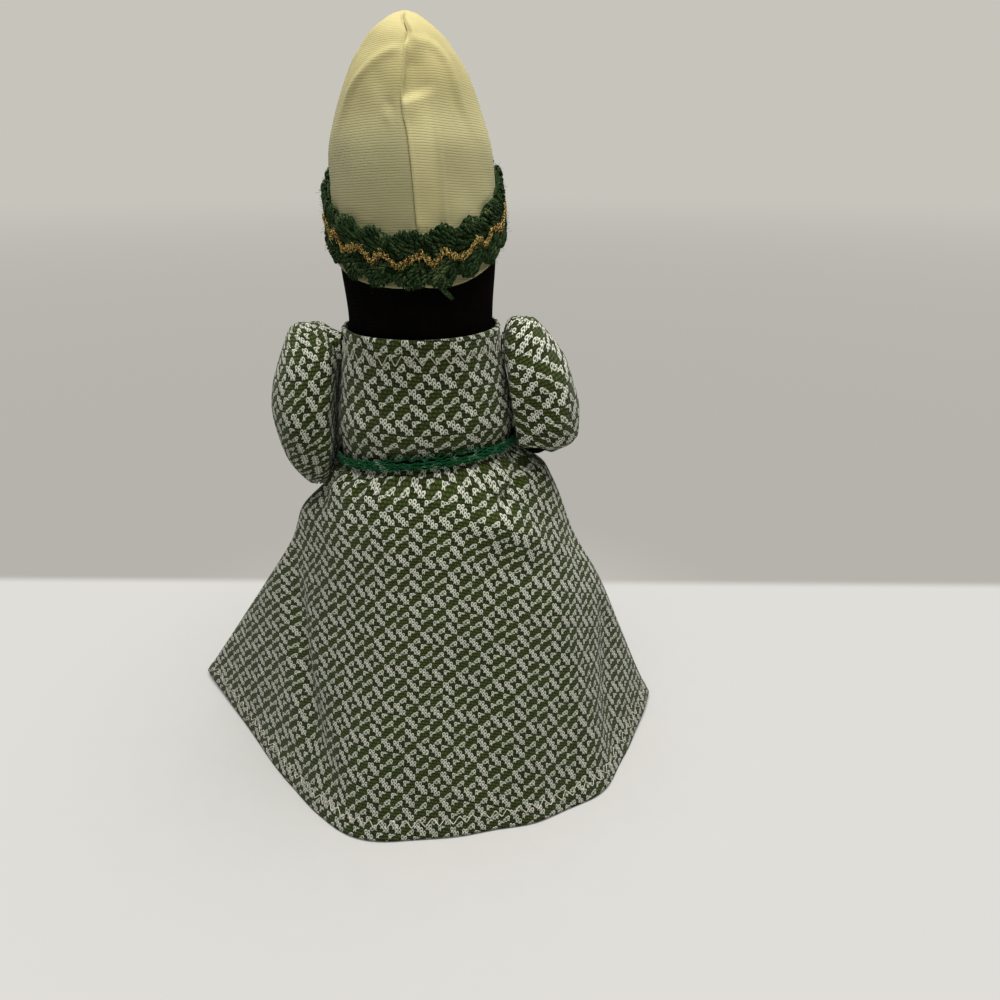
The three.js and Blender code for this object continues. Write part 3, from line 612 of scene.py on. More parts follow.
def hem_curve(stations):
    first, last = stations[0][0], stations[-1][0]
    distance = through([[(way - first) / (last - first), reach] for way, reach in stations])
    return lambda place: (radians(mix(first, last, place)), distance(place)[..., 0])


# Where the hem stands on the floor, by direction and distance
HEM = {
    BACK: hem_curve([
        [-7.5, 147.8], [2, 128.5], [14, 112.5], [26, 104.6], [46, 102.9], [61, 107.3], [73, 111.5],
        [97, 107.0], [121, 112.6], [140, 119.7], [153, 118.6], [168, 121.8], [179, 127.9],
    ]),
    FRONT: hem_curve([
        [-7.5, 147.8], [-24, 131], [-42, 118], [-58, 117], [-75, 109], [-92, 112], [-110, 108],
        [-128, 117], [-146, 116], [-164, 121], [-181, 127.9],
    ]),
}
# Folds run from one (fall, place) to another: full at a fall, with a depth and a width
SIDE_FOLDS = [
    ((0.026, 0.04), (0.24, 0.05), 0.1, -6.5, 0.1),
    ((0.026, 1), (1.05, 1), 0.45, 8.5, 0.25),
    ((0.06, 0), (0.42, 0), 0.2, 3.0, 0.1),
    ((0.02, 1), (0.42, 1), 0.12, 5.0, 0.12),
]
FOLDS = {
    BACK: [
        ((0.28, -0.02), (1.05, 0.46), 0.66, -7, 0.05),
        ((0.02, 0.95), (0.17, 0.66), 0.09, -4.5, 0.04),
        ((0.08, 0.62), (0.42, 0.95), 0.19, 5.5, 0.08),
        ((0.4, 1.03), (1.1, 0.8), 0.74, -5, 0.045),
    ],
    FRONT: [
        ((0.1, 0.2), (1.1, 0.28), 0.55, -6, 0.06),
        ((0.02, 0.5), (0.8, 0.5), 0.3, -4, 0.05),
        ((0.1, 0.78), (1.1, 0.72), 0.55, -6, 0.06),
    ],
}


def from_seam(place):
    return minimum(place, 1 - place)


def fold_out(fold, place, fall):
    start, end, full, depth, width = fold
    middle = mix(start[1], end[1], (fall - start[0]) / (end[0] - start[0]))
    return depth * bell(place - middle, width) * swell(fall, start[0], full, end[0])


def fold_depth(panel, place, fall):
    clear = ramp(from_seam(place), 0, 0.04)
    depth = 6.5 * swell(fall, 0.026, 0.10, 0.36) + 2.0 * swell(fall, 0.024, 0.055, 0.14)
    for fold in SIDE_FOLDS:
        depth = depth + fold_out(fold, place, fall)
    for fold in FOLDS[panel]:
        depth = depth + clear * fold_out(fold, place, fall)
    return depth


def skirt_point(panel, place, fall):
    top = bodice_point(panel * math.pi * place, np.ones_like(place), DRESS_OUT)
    direction, distance = HEM[panel](place)
    spread = maximum(0, (fall - BAND_FALL) / (1 - BAND_FALL))
    x = mix(top[..., 0], distance * cos(direction), spread)
    y = mix(top[..., 1], distance * sin(direction), spread)
    out = 1 + fold_depth(panel, place, fall) / np.hypot(x, y)
    lift = 2.2 * fade(from_seam(place), 0, 0.16) * clip(fall, 0, 1) ** 3
    return stacked(x * out, y * out, mix(top[..., 2], 0, fall) + lift)


def dress_point(panel, place, step):
    """A point of the dress: steps go from the neck at 0 to the waist at 1 and the hem at 2."""
    above = bodice_point(panel * math.pi * place, minimum(step, 1), DRESS_OUT)
    below = skirt_point(panel, place, maximum(step - 1, 0))
    return where((step <= 1)[..., None], above, below)


# The flat knit: the skirt is cut as a fan, and a stitch has a width and a height
FAN_HALF, FAN_RADIUS, FAN_LENGTH = math.radians(43), 73.3, 175
SKIRT_STITCH, BODICE_STITCH, BODICE_RADIUS = (1.43, 1.28), (1.76, 1.93), 37.5
SKEW, SIDE_SEAM_RADIUS = 0.08, 43.6
# How far down the flat knit each share of the skirt's fall lies: gathers at the waist stretch it
STITCH_FALL = through([
    [-0.1, -0.07], [0, 0], [0.2, 0.141], [0.35, 0.261], [0.6, 0.488], [0.8, 0.667], [1, 0.835],
    [1.1, 0.92],
])


def stitch_places(panel, place, step, grid):
    """Where each point lies in the flat knit, counted in stitches."""
    hem = lengths_along(grid[-1])
    fall = clip(step - 1, 0, 1)
    share = mix(linspace(0, 1, len(hem)), hem / hem[-1], fall)
    turn = (share + 0.22 * maximum(0, 0.32 - share) - 0.47) * 2 * FAN_HALF * panel
    down = FAN_RADIUS + STITCH_FALL(fall)[..., 0] * FAN_LENGTH
    u = (FAN_RADIUS + fall * FAN_LENGTH) * sin(turn) / SKIRT_STITCH[0]
    v = (down * cos(turn) - FAN_RADIUS) / SKIRT_STITCH[1]
    bodice_u = (place - 0.5) * math.pi * BODICE_RADIUS / BODICE_STITCH[0] * panel
    bodice_v = (step - 1) * (NECK_Z - WAIST_Z) / BODICE_STITCH[1]
    above = step <= 1
    u, v = where(above, bodice_u, u), where(above, bodice_v, v)
    v = v - SKEW * u + 48 * maximum(0, share - 0.76) * fall
    return stacked(u - SKEW * v, v) + KNIT_ORIGIN


def dress_normal(panel, place, step, point):
    near, at = 0.002, partial(dress_point, panel)
    across = at(minimum(1, place + near), step) - at(maximum(0, place - near), step)
    along = at(place, step + near) - at(place, maximum(0, step - near))
    normal = unit(np.cross(across, along))
    return normal * np.sign((normal[..., :2] * point[..., :2]).sum(-1))[..., None]


def dress_surface(panel, place, step, stand=0.0):
    """The outer face of the dress, with its gathers and its folded edges."""
    grid = dress_point(panel, place, step)
    fall = clip(step - 1, 0, 1)
    seam = ramp(from_seam(place), 0, 0.03)
    wave = sin(place * TURN * 13 + 2.0 * sin(place * 17)) * swell(fall, 0.02, 0.05, 0.17)
    soft = ripple(grid * (1, 1, 0.7), 46, 3) * ramp(fall, 0.12, 0.4) * 0.9
    bodice = ripple(grid * (1, 1, 1.6), 17, 8) * fade(step, 0.85, 1.0) * 0.25
    neck = 0.75 * ramp(step, 0, 0.016) * (1 - 0.65 * ramp(step, 0.02, 0.05)) * fade(step, 0.12, 0.15)
    hem = 0.4 * ramp(fall, 0.955, 0.967)
    out = seam * (wave * 0.8 + soft + bodice) + neck + hem + stand
    point = grid + dress_normal(panel, place, step, grid) * out[..., None]
    point[..., 2] = maximum(point[..., 2], 0.2)
    return point


def dress_panel(word, panel):
    # Rows at the neck's edge, down the bodice, in the waist's band and down the skirt
    band, skirt_rows = 1 + BAND_FALL, 140
    parts = ((0, 0.16, 18), (0.16, 1, 34), (1, band, 5), (band, 2, skirt_rows))
    steps = concatenate([[0], *(linspace(*part)[1:] for part in parts)])[:, None]
    edge = GAP / 2 / SIDE_SEAM_RADIUS / math.pi
    place = linspace(edge, 1 - edge, 241)[None, :]
    outer = dress_surface(panel, place, steps)
    level = (steps <= 1) | (place <= edge) | (place >= 1 - edge)
    inward = where(level[..., None], unit(outer * (1, 1, 0)), grid_normals(outer))
    inner = outer - inward * KNIT_CLOTH
    inner[..., 2] = maximum(inner[..., 2], 0.0)
    shape = sheet_between(outer, inner, uv=stitch_places(panel, place, steps, outer))
    piece = add(f"dress_{word}_knit", shape, KNIT, "doll", "dress_knit", f"dress_{word}")


def zigzag(name, panel, edge_step, reach, period, ends):
    """A machine zigzag through the folded edge, as one cream thread."""
    place = linspace(*ends, 1400)
    along = lengths_along(dress_surface(panel, place, np.full_like(place, edge_step)))
    turn = along / period + 0.12 * sin(along / 9)
    wave = np.arcsin(0.97 * sin(TURN * turn)) / 1.33
    step = edge_step + reach * wave * (1 + 0.12 * sin(along / 13))
    path = dress_surface(panel, place, step, 0.16 + 0.10 * np.abs(wave))
    add(name, tubes([path], SEAM_STRAND, (0.02, 0.03, 1), 5), CREAM, "doll", "face_thread")


for word, panel in (("back", BACK), ("front", FRONT)):
    dress_panel(word, panel)
for word, panel in (("back", BACK), ("front", FRONT)):
    zigzag(f"neck_zigzag_{word}", panel, 0.150, 0.040, 6.6, (0.012, 0.988))
    zigzag(f"hem_zigzag_{word}", panel, 1.958, 0.009, 6.2, (0.01, 0.99))


def body_rings(inside, bottom):
    angle = rings_around(96)
    upper = bodice_point(angle, linspace(level_of(SEAM_Z), 1, 34)[:, None], -inside)
    fall = linspace(BAND_FALL, 1, 60)[:, None]
    lower = around(lower_shape(fall), angle, -inside, mix(waist_height(angle), bottom, fall))
    return concatenate([upper, lower])


rings = body_rings(0, FLOOR_OF_COVER)
rings = pushed(rings, 0.25 * (ripple(rings, 30, 5) - 1.6))
shape = sheet_between(rings, pushed(rings, -COVER), wraps=True)
add("body_cloth", shape, BLACK, "doll", "black_cloth", "body_cover")

rings = body_rings(COVER + GAP, CARD_TOP + GAP)
rings = pushed(rings, 0.3 * ripple(rings, 12, 6) - 0.6)
body_filling = add("body_filling", closed_rings(rings), FILL, "doll", "stuffing", "body_stuffing")

# Base cloth, with its edge sewn over
shares, angle = np.array([0.02, 0.3, 0.6, 0.85, 0.97, 1.0])[:, None], rings_around(120)
top = around(shares[..., None] * BASE_HALF, angle, 0, BASE_THICK)
low = top * (1, 1, 0)
low[-1, :, 2] += 0.3
shape = closed_rings(concatenate([low, top[::-1]]))
add("base_cloth", shape, BLACK, "doll", "black_cloth", "base_cover")

# Head and face
NECK_IN, HEAD_SIDES, HEAD_LEAN = 1.2, 96, 0.9
head_shape = through([
    [SEAM_Z, *(body_shape(level_of(SEAM_Z)) - NECK_IN)], [NECK_Z, *(np.array(NECK_HALF) - NECK_IN)],
    [WIDE_Z, 36.5, 36.0], [DOME_Z, 36.2, 35.7],
])


def head_rings(inside):
    """Rings of the head from the neck's seam to the crown, which is a dome."""
    tall = CROWN_Z - inside - DOME_Z
    dome = DOME_Z + tall * sin(linspace(0, 0.97, 22) * math.pi / 2)
    heights = concatenate([linspace(SEAM_Z + GAP, DOME_Z, 30)[:-1], dome])[:, None]
    share = maximum(0, (heights - DOME_Z) / tall)
    half = (head_shape(minimum(heights, DOME_Z)) - inside) * np.sqrt(1 - share * share)[..., None]
    lean = stacked(HEAD_LEAN * ramp(heights, WIDE_Z, CROWN_Z), 0, 0)
    return around(half, rings_around(HEAD_SIDES), 0, heights) + lean


rings = head_rings(0)
rings = pushed(rings, 0.22 * (ripple(rings * (1, 1, 0.5), 24, 11) - 1.3))
points, faces, _ = sheet_between(rings, pushed(head_rings(COVER), -0.4), wraps=True)
top, around_top = (len(rings) - 1) * HEAD_SIDES, np.arange(HEAD_SIDES)[None, :]
faces += [top + around_top[:, ::-1], len(rings) * HEAD_SIDES + top + around_top]
add("head_cloth", (points, faces, None), BLACK, "doll", "black_cloth", "head_cover")

rings = head_rings(COVER + GAP)
rings = pushed(rings, -0.8 - 0.3 * ripple(rings, 10, 12))
head_filling = add("head_filling", closed_rings(rings), FILL, "doll", "stuffing", "head_stuffing")


def face_line(name, from_middle, drop, half_length, sag, lashes, node):
    """An embroidered arc: strands laid side by side, and short straight stitches below it."""
    def on_face(x, z, stand):
        half = head_shape(z) + np.asarray(stand)[..., None]
        return stacked(x, half[..., 1] * sin(-np.arccos(x / half[..., 0])), z)

    share, along = linspace(-1, 1, 25), linspace(0, 1, 6)
    x = from_middle + share * half_length
    z = WIDE_Z - drop - sag * (1 - share * share)
    strands = [on_face(x, z + offset, 0.45 + 0.15 * cos(share * 19 + offset * 5))
               for offset in (-0.45, 0.0, 0.45)]
    parts = [tubes(strands, FACE_STRAND, (0, 0, 1))]
    for k in linspace(-0.8, 0.8, lashes):
        x, z = from_middle + k * half_length, WIDE_Z - drop - sag * (1 - k * k)
        parts.append(tubes([on_face(x + along * k * 1.2, z - along * 2.2, 0.4)], 0.2, (1, 0, 0.2)))
    add(name, together(*parts), FACE, "doll", "face_thread", node)


for word, eye in (("left", 13), ("right", -13)):
    face_line(f"eye_threads_{word}", eye, 1, 5, 2.4, 5, f"eye_stitch_{word}")
face_line("mouth_threads", 0, 17, 6.5, 2.2, 0, "mouth_stitch")

# Waist cord
CORD_RADIUS, CORD_PITCH, CORD_TURNS = 1.0, 2.6, 2
FRONT_ANGLE = -math.pi / 2


def dress_around(angle, rise, outside):
    """A point outside the dress, by its height over the waist line."""
    turned = np.mod(angle, TURN)
    back = turned <= math.pi
    place = where(back, turned, TURN - turned) / math.pi
    step = 1 - rise / where(rise > 0, NECK_Z - waist_height(angle), waist_height(angle))
    point = where(back[..., None], dress_point(BACK, place, step), dress_point(FRONT, place, step))
    out = 1 + outside / np.hypot(point[..., 0], point[..., 1])
    return point * stacked(out, out, 1)


def cord_strands(share, rise, stand):
    """Crinkled strands side by side; the upper ones stand loose above the cord for a stretch behind."""
    rng = np.random.default_rng(21)
    slack = ramp(share, 1.42, 1.46) * fade(share, 1.58, 1.63)
    turn = share * TURN
    for k in range(4):
        place = min(k - 1, 1.5) * 0.72
        drift = 0.25 * sin(turn * rng.uniform(9, 15) + rng.uniform(0, TURN))
        crinkle = sin(turn * rng.uniform(46, 56) + k * 0.8 + 1.2 * sin(turn * 7 + k))
        loose = slack * max(0, k - 1) * (1.0 + 0.7 * sin(turn * (31 + 6 * k)))
        out = stand + 0.35 * cos(place) + 0.3 * sin(turn * 61 + 2 * k)
        yield dress_around(FRONT_ANGLE + turn, rise + place + drift + 0.34 * crinkle + loose, out)


share = linspace(0, CORD_TURNS, 1300)
rise = CORD_PITCH * (share - CORD_TURNS / 2)
stand = GAP + CORD_RADIUS
strands = list(cord_strands(share, rise, stand + 0.75))
plies = tubes(strands, CORD_STRAND, (0, 0, 1))
add("waist_cord_strands", plies, CORD, "doll", "waist_yarn", "waist_cord")
# Painted shade: a near-black core behind the strands, which shows in the gaps between them.
core = tubes([dress_around(FRONT_ANGLE + share * TURN, rise, stand)], CORD_RADIUS, (0, 0, 1), 8)
add("waist_cord_shade", core, CORD_SHADE, "doll", "waist_yarn")

knot_out = GAP + 3 * CORD_RADIUS + GAP + 3.0 + 0.36
knot_place = dress_around(np.array(FRONT_ANGLE), np.array(0.0), knot_out)


def knot_loop(turns, seed):
    """A trefoil of cord, a little pulled about."""
    t = linspace(0, TURN, 90)
    x, z = (sin(t) + 2 * sin(2 * t)) / 3 * 3.6, (cos(t) - 2 * cos(2 * t)) / 3 * 3.1
    wobble = np.random.default_rng(seed).normal(size=(3, 3)) * 0.25
    offset = sum(wobble[k] * sin((k + 1) * t + turns)[:, None] for k in range(3))
    return knot_place + stacked(x, -sin(3 * t) * 1.9, z) + offset


def end_strands(side, seed):
    """One end of the cord, frayed, which hangs down from the knot onto the skirt."""
    rng = np.random.default_rng(seed)
    share = linspace(0, 1, 40)
    for k in range(7):
        fray = ramp(share, 0.6, 1.0) * rng.uniform(-1.6, 1.6)
        angle = FRONT_ANGLE + side * 0.05 * TURN * share + fray / 60 + 0.006 * sin(share * 21 + k)
        drop = -0.17 * share * WAIST_Z * rng.uniform(0.93, 1.0)
        away = 2.1 + 0.5 * cos(k * 2.4 + share * 16) + fade(share, 0, 0.3) * 4.5
        up = drop + 0.4 * sin(k * 2.4 + share * 16) - fade(share, 0, 0.2) * 0.4
        yield dress_around(angle, up, away)


knot = together(tubes([knot_loop(k, 40 + k) for k in range(5)], KNOT_STRAND, (0.3, 1, 0.2)),
                tubes([*end_strands(1, 50), *end_strands(-1, 51)], 0.26, (1, 0, 0.1), 5))
add("waist_knot_strands", knot, CORD, "doll", "waist_yarn", "waist_knot")

# Arms and sleeves
ROOT_BALL, ROOT_NECK = 8.0, 6.0
ARMHOLE_X = SHOULDER_HALF[0] + DRESS_OUT
PIVOT_X = ARMHOLE_X + ROOT_BALL
ARM_LINE = [
    # out, forward, down, radius
    (3.6, 0, 6, 6.6), (9.5, 0, 16, 8.2), (13.5, 0, 30, 9.2), (13.5, 4, 43, 8.8), (10, 17, 54, 8.2),
    (5.5, 34, 56, 7.4), (2.5, 46, 54, 8.6), (1, 55, 51, 6.8), (0.5, 58.5, 49.5, 2.6),
]
LEFT_SLEEVE = [
    # up, stand-off, width, half depth, forward
    (12.2, 14.8, 5.5, 2.5, 0), (9.7, 9.4, 16.6, 9, 0), (3, 3.2, 26.3, 15, 0), (-6, 0.9, 31.2, 19, 0),
    (-17, 0.8, 33, 21, 0), (-30, 0.6, 33, 21.5, 0.5), (-44, 0.8, 30.5, 21, 1.5),
    (-56, 1.4, 26, 18, 3), (-65, 3.5, 19.5, 13, 4), (-71, 7.5, 11, 7, 4), (-73.4, 11.5, 3, 2, 4),
]
RIGHT_SLEEVE = [
    (15, 9, 6, 2.5, 0), (12.6, 4.4, 15.5, 9, 0), (7, 2.2, 22.6, 14.5, 0), (-2, 1.0, 28.2, 18.5, 0),
    (-13, 0.8, 31.8, 21, 0), (-25, 0.6, 33, 22, 0.5), (-36, 0.8, 32.8, 22, 1),
    (-43.5, 1.0, 32.0, 20.5, 2), (-47.5, 1.8, 29.5, 16.5, 2), (-50, 6, 18, 8.5, 2),
]
CORD_STACK = 2 * (CORD_RADIUS + GAP)


def arm_rings(side, inset, stop_short=0.0):
    """Rings of an arm with its mitten hand, and their middles."""
    line = ARM_LINE[:-1] if stop_short else ARM_LINE
    points = np.array([(side * (PIVOT_X + out), -forward, SHOULDER_Z - down)
                       for out, forward, down, _ in line])
    if stop_short:
        points[-1, 1] += stop_short
    lengths = lengths_along(points)
    rows = through([[a, *p, r[3] - inset] for a, p, r in zip(lengths, points, line)])(
        linspace(0, lengths[-1], 80))
    middle, radius = rows[:, :3], rows[:, 3]
    tangent = unit(np.gradient(middle, axis=0))
    across = unit(np.cross(tangent, (1.0, 0, 0.0)))
    turn = rings_around(36)[0][:, None]
    ring = cos(turn) * across[:, None] + sin(turn) * np.cross(across, tangent)[:, None]
    return middle[:, None] + radius[:, None, None] * ring, middle[:, None]


def side_of_bodice(side, height):
    line = waist_height(0.0 if side > 0 else math.pi)
    level = clip((NECK_Z - height) / (NECK_Z - line), 0, 1)
    past_cord = fade(height, line + BAND, line + 3 * BAND)
    return body_shape(level)[..., 0] + DRESS_OUT + CORD_STACK * past_cord


# How closely each sleeve's inner wall follows the bodice, and how far it hangs down in front
SLEEVE_HUG = {1: 0.55, -1: 0.75}
SLEEVE_DROP = {1: 0.0, -1: 11.0}
SLEEVE_FLAT = {1: ((0.112, 0.100), 0.0095), -1: ((0.112, 0.085), 0.0082)}
# Between two places down the sleeve: slope of the columns, slope of the rows; then the stitch
SLEEVE_GRAIN = {
    1: (22, 50, -0.36, 0.23, -0.19, 0.02, 1.5, 2.0),
    -1: (30, 49, -0.12, 0.05, 0.40, 0.07, 2.06, 1.8),
}
LEAN_REACH, SLEEVE_ORIGIN = 24.0, 300.5


def sleeve_grain(side, outer):
    """Where each point lies in the sleeve's knit, counted in stitches from the middle of its back."""
    steps = np.linalg.norm(np.roll(outer, -1, axis=1) - outer, axis=2)
    arc = np.cumsum(steps, axis=1) - steps
    back = outer.shape[1] // 4
    arc = arc - arc[:, back:back + 1]
    whole = steps.sum(axis=1, keepdims=True)
    arc = where(arc > whole / 2, arc - whole, arc)
    climb = lengths_along(outer[:, back])[:, None]
    high, low, column_high, column_low, row_high, row_low, wide, tall = SLEEVE_GRAIN[side]
    past = (climb - high) / (low - high)
    bend = (column_high + (column_low - column_high) * past / 2) * (climb - high)
    behind = LEAN_REACH * np.tanh(arc / LEAN_REACH)
    lean = behind * mix(row_high, row_low, clip(past, -0.5, 1.5))
    return stacked((arc + bend) / wide, (climb - lean) / tall) + SLEEVE_ORIGIN


def sleeve(word, side, stations):
    """A puffed sleeve, gathered at both ends, that hangs from the shoulder round the arm."""
    rows, columns = 90, 132
    curve = through([
        [i, SHOULDER_Z + up, side_of_bodice(side, SHOULDER_Z + up) + stand, *rest]
        for i, (up, stand, *rest) in enumerate(stations)])
    height, wall, width, deep, forward = curve(linspace(0, len(stations) - 1, rows)).T[..., None]
    down, turn = linspace(0, 1, rows)[:, None], rings_around(columns)
    cosine = cos(turn)
    core = wall + 0.42 * width
    x = where(cosine > 0, core + (wall + width - core) * cosine,
              core - (core - wall) * np.abs(cosine) ** 0.6)
    y = deep * sin(turn) - forward
    half = body_shape(clip(level_of(height), 0, 1))
    bow = half[..., 0] * (1 - np.sqrt(maximum(0, 1 - (y / (half[..., 1] + 2)) ** 2)))
    x = x - bow * ramp(-cosine, 0, 0.5) * SLEEVE_HUG[side] * ramp(deep, 6, 16)
    height = height - SLEEVE_DROP[side] * ramp(-y, 1, 15) * ramp(down, 0.6, 0.95)
    grid = stacked(side * x, y, height)
    normals = grid_normals(grid, wraps=True)
    pleats = sin(turn * 11 + 1.3 * sin(turn * 3 + side))
    gather = pleats * (np.exp(-down / 0.10) + np.exp(-(1 - down) / 0.09)) * 0.9
    soft = ripple(grid * (1, 1, 0.6), 20, 30 + side) * 0.5
    free = ramp(down, 0, 0.05) * ramp(1 - down, 0, 0.05)
    outer = grid + normals * (free * (gather + soft) - 0.3)[..., None]
    inner = outer - normals * KNIT_CLOTH
    other, c = rows * columns, np.arange(columns)[None, :]
    faces = [grid_faces(rows, columns, True), grid_faces(rows, columns, True, other)[:, ::-1],
             c, other - columns + c[:, ::-1], other + c[:, ::-1], 2 * other - columns + c]
    grain = sleeve_grain(side, outer)
    shape = both(outer, inner), faces, both(grain, grain)
    piece = add(f"sleeve_{word}_knit", shape, KNIT, None, "dress_knit", f"sleeve_{word}")
    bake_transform(piece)
    flat, area = SLEEVE_FLAT[side]


def shoulder_rings(side, reach, radius, turn):
    """Rings round the line that runs level through a shoulder."""
    return stacked(side * reach, radius * cos(turn), SHOULDER_Z + radius * sin(turn))


def sleeve_head(word, side):
    """The gathered cloth between an armhole and its sleeve, round the shoulder's root."""
    turn, share = rings_around(96), linspace(0, 1, 24)[:, None]
    reach = mix(ARMHOLE_X + 0.2, ARMHOLE_X + 12, share)
    radius = mix(7.6, 9.4, ramp(share, 0, 0.8)) + 0.45 * sin(turn * 14 + share) * ramp(share, 0, 0.2)
    outer, inner = (shoulder_rings(side, reach, radius - inset, turn)
                    for inset in (0, KNIT_CLOTH * 0.6))
    shape = sheet_between(outer, inner, True, stacked(turn * 8.6 / 1.75, share * 12 / 1.6))
    add(f"sleeve_head_{word}", shape, KNIT, f"{word}_shoulder", "dress_knit")


def shoulder_root(word, side):
    """The stuffed ball that the arm turns on, with its stem through the armhole."""
    start = body_shape(level_of(SHOULDER_Z - ROOT_NECK))[..., 0] + GAP
    turn = linspace(math.pi - math.asin(ROOT_NECK / ROOT_BALL), 0.05, 22)
    stem = linspace(start, PIVOT_X + ROOT_BALL * math.cos(turn[0]), 8)[:-1]
    along = concatenate([stem, PIVOT_X + ROOT_BALL * cos(turn)])[:, None]
    radius = concatenate([np.full(len(stem), ROOT_NECK), ROOT_BALL * sin(turn)])[:, None]
    round_it = rings_around(40)
    rings = shoulder_rings(side, along, radius, round_it)
    pleats = 0.15 * sin(round_it * 10) * ramp(radius, 2, 6)
    rings = rings + unit(rings - rings.mean(axis=1, keepdims=True)) * pleats[..., None]
    add(f"shoulder_root_{word}_cloth", closed_rings(rings), BLACK, f"{word}_shoulder", "black_cloth",
        f"shoulder_root_{word}")


for word, side, stations in (("left", 1, LEFT_SLEEVE), ("right", -1, RIGHT_SLEEVE)):
    body = f"{word}_arm"
    shoulder_root(word, side)
    rings, middle = arm_rings(side, 0)
    rings = rings + unit(rings - middle) * (0.25 * (ripple(rings, 12, 60) - 1.5))[..., None]
    arm = add(f"arm_{word}_cloth", closed_rings(rings), BLACK, body, "black_cloth", f"arm_{word}_cover")
    rings, _ = arm_rings(side, COVER + GAP, 3.6)
    add(f"arm_{word}_filling", closed_rings(rings), FILL, body, "stuffing", f"arm_{word}_stuffing")
    sleeve(word, side, stations)
    sleeve_head(word, side)

# Hat
BRIM_HALF, TIP_RADIUS, HAT_LEAN = (37.65, 37.15), 1.4, 1.2
TRIM_RISE, TRIM_TILT, ROW_HEIGHT, ROW_SPACING, TRIM_THICK = 19.0, 0.51, 12.6, 0.3, 3.6
hat_shape = through([
    # height as a share of the way to the tip, inset at the sides, inset in depth
    (-0.23, -0.013, -0.013), (-0.085, 0, 0), (0.235, 0.019, 0.008), (0.47, 0.07, 0.048),
    (0.595, 0.16, 0.107), (0.735, 0.298, 0.205), (0.84, 0.462, 0.35), (0.936, 0.675, 0.592),
    (1, 1 - TIP_RADIUS / BRIM_HALF[0], 1 - TIP_RADIUS / BRIM_HALF[1]),
])


def up_the_hat(height):
    return (height - WIDE_Z) / (TIP_Z - WIDE_Z)


def hat_point(angle, height, outside=0.0):
    share = up_the_hat(height)
    half = np.array(BRIM_HALF) * (1 - hat_shape(share))
    return around(half, angle, outside, height) + stacked(HAT_LEAN * ramp(share, -0.085, 0.47), 0, 0)


def trim_height(angle):
    return WIDE_Z + TRIM_RISE - TRIM_TILT * BRIM_HALF[1] * sin(angle)


def trim_point(angle, rise, outside):
    return hat_point(angle, trim_height(angle) + rise, 0.45 + outside)


# The seam down the back of the hat, and the edges of the hollow it runs through: degrees by height
SEAM_LINE = through([
    [240, 96], [267, 96], [291, 95.5], [301.5, 94.5], [307, 93.5], [312.5, 91.5], [317, 90.5], [322, 91],
    [326.5, 92.5], [332, 93.5], [337, 94.5], [340, 97.5], [343, 100], [346, 96.5], [349, 92], [352, 90],
])
HOLLOW_LEFT = through([
    [300, 30], [314, 38], [325, 47], [328.5, 54], [331.5, 61], [334, 72], [335.5, 83], [338, 96]])
HOLLOW_RIGHT = through([
    [300, 150], [315, 143], [324, 140], [333, 140.5], [336.5, 138], [338, 128], [339, 104]])
HAT_CREASES = [
    # relief, width, line as (degrees, height)
    (0.8, 2.0, [(93, 337), (82, 335.5), (71.5, 334), (62, 331.5), (56, 328.5), (49, 325.5), (42, 321),
                (37, 314), (33, 306)]),
    (0.9, 2.4, [(99, 338.5), (110, 339), (122, 338.5), (132, 336.5), (138, 332), (139, 326), (139, 319),
                (142, 311)]),
    (0.4, 2.4, [(75, 349.5), (50, 347), (38, 343), (30, 338.5), (24, 333), (19, 327)]),
    (0.4, 2.4, [(112, 349.5), (130, 347.5), (142, 344), (148, 340), (152, 335), (156, 329)]),
    (-1.2, 0.9, [(91, 351.5), (91, 348.5), (98, 345), (101.5, 342.5), (98.5, 340), (94.5, 337)]),
    (0.7, 1.3, [(103, 347.5), (109, 344), (106.5, 340), (101, 337)]),
    (-1.0, 4.0, [(62, 330.5), (70, 326), (78, 320), (84, 313)]),
    (-0.6, 1.8, [(77, 320), (83, 315.5), (88, 311)]),
    (0.4, 1.6, [(75, 315.5), (79.5, 312), (83, 309), (86, 305)]),
]
MIDDLE_DEGREES = 92


def distance_to_line(across, height, line, radius):
    """How far each point of the hat's cloth is from a line on it, and the nearest place along it."""
    nearest = np.full(np.broadcast(across, height).shape, np.inf)
    share = np.zeros(nearest.shape)
    for k, ((a0, h0), (a1, h1)) in enumerate(zip(line, line[1:])):
        x0, x1 = (radians(a - MIDDLE_DEGREES) * radius for a in (a0, a1))
        dx, dy = x1 - x0, h1 - h0
        t = clip(((across - x0) * dx + (height - h0) * dy) / (dx * dx + dy * dy), 0, 1)
        away = np.hypot(across - x0 - t * dx, height - h0 - t * dy)
        share = where(away < nearest, (k + t) / (len(line) - 1), share)
        nearest = minimum(nearest, away)
    return nearest, share


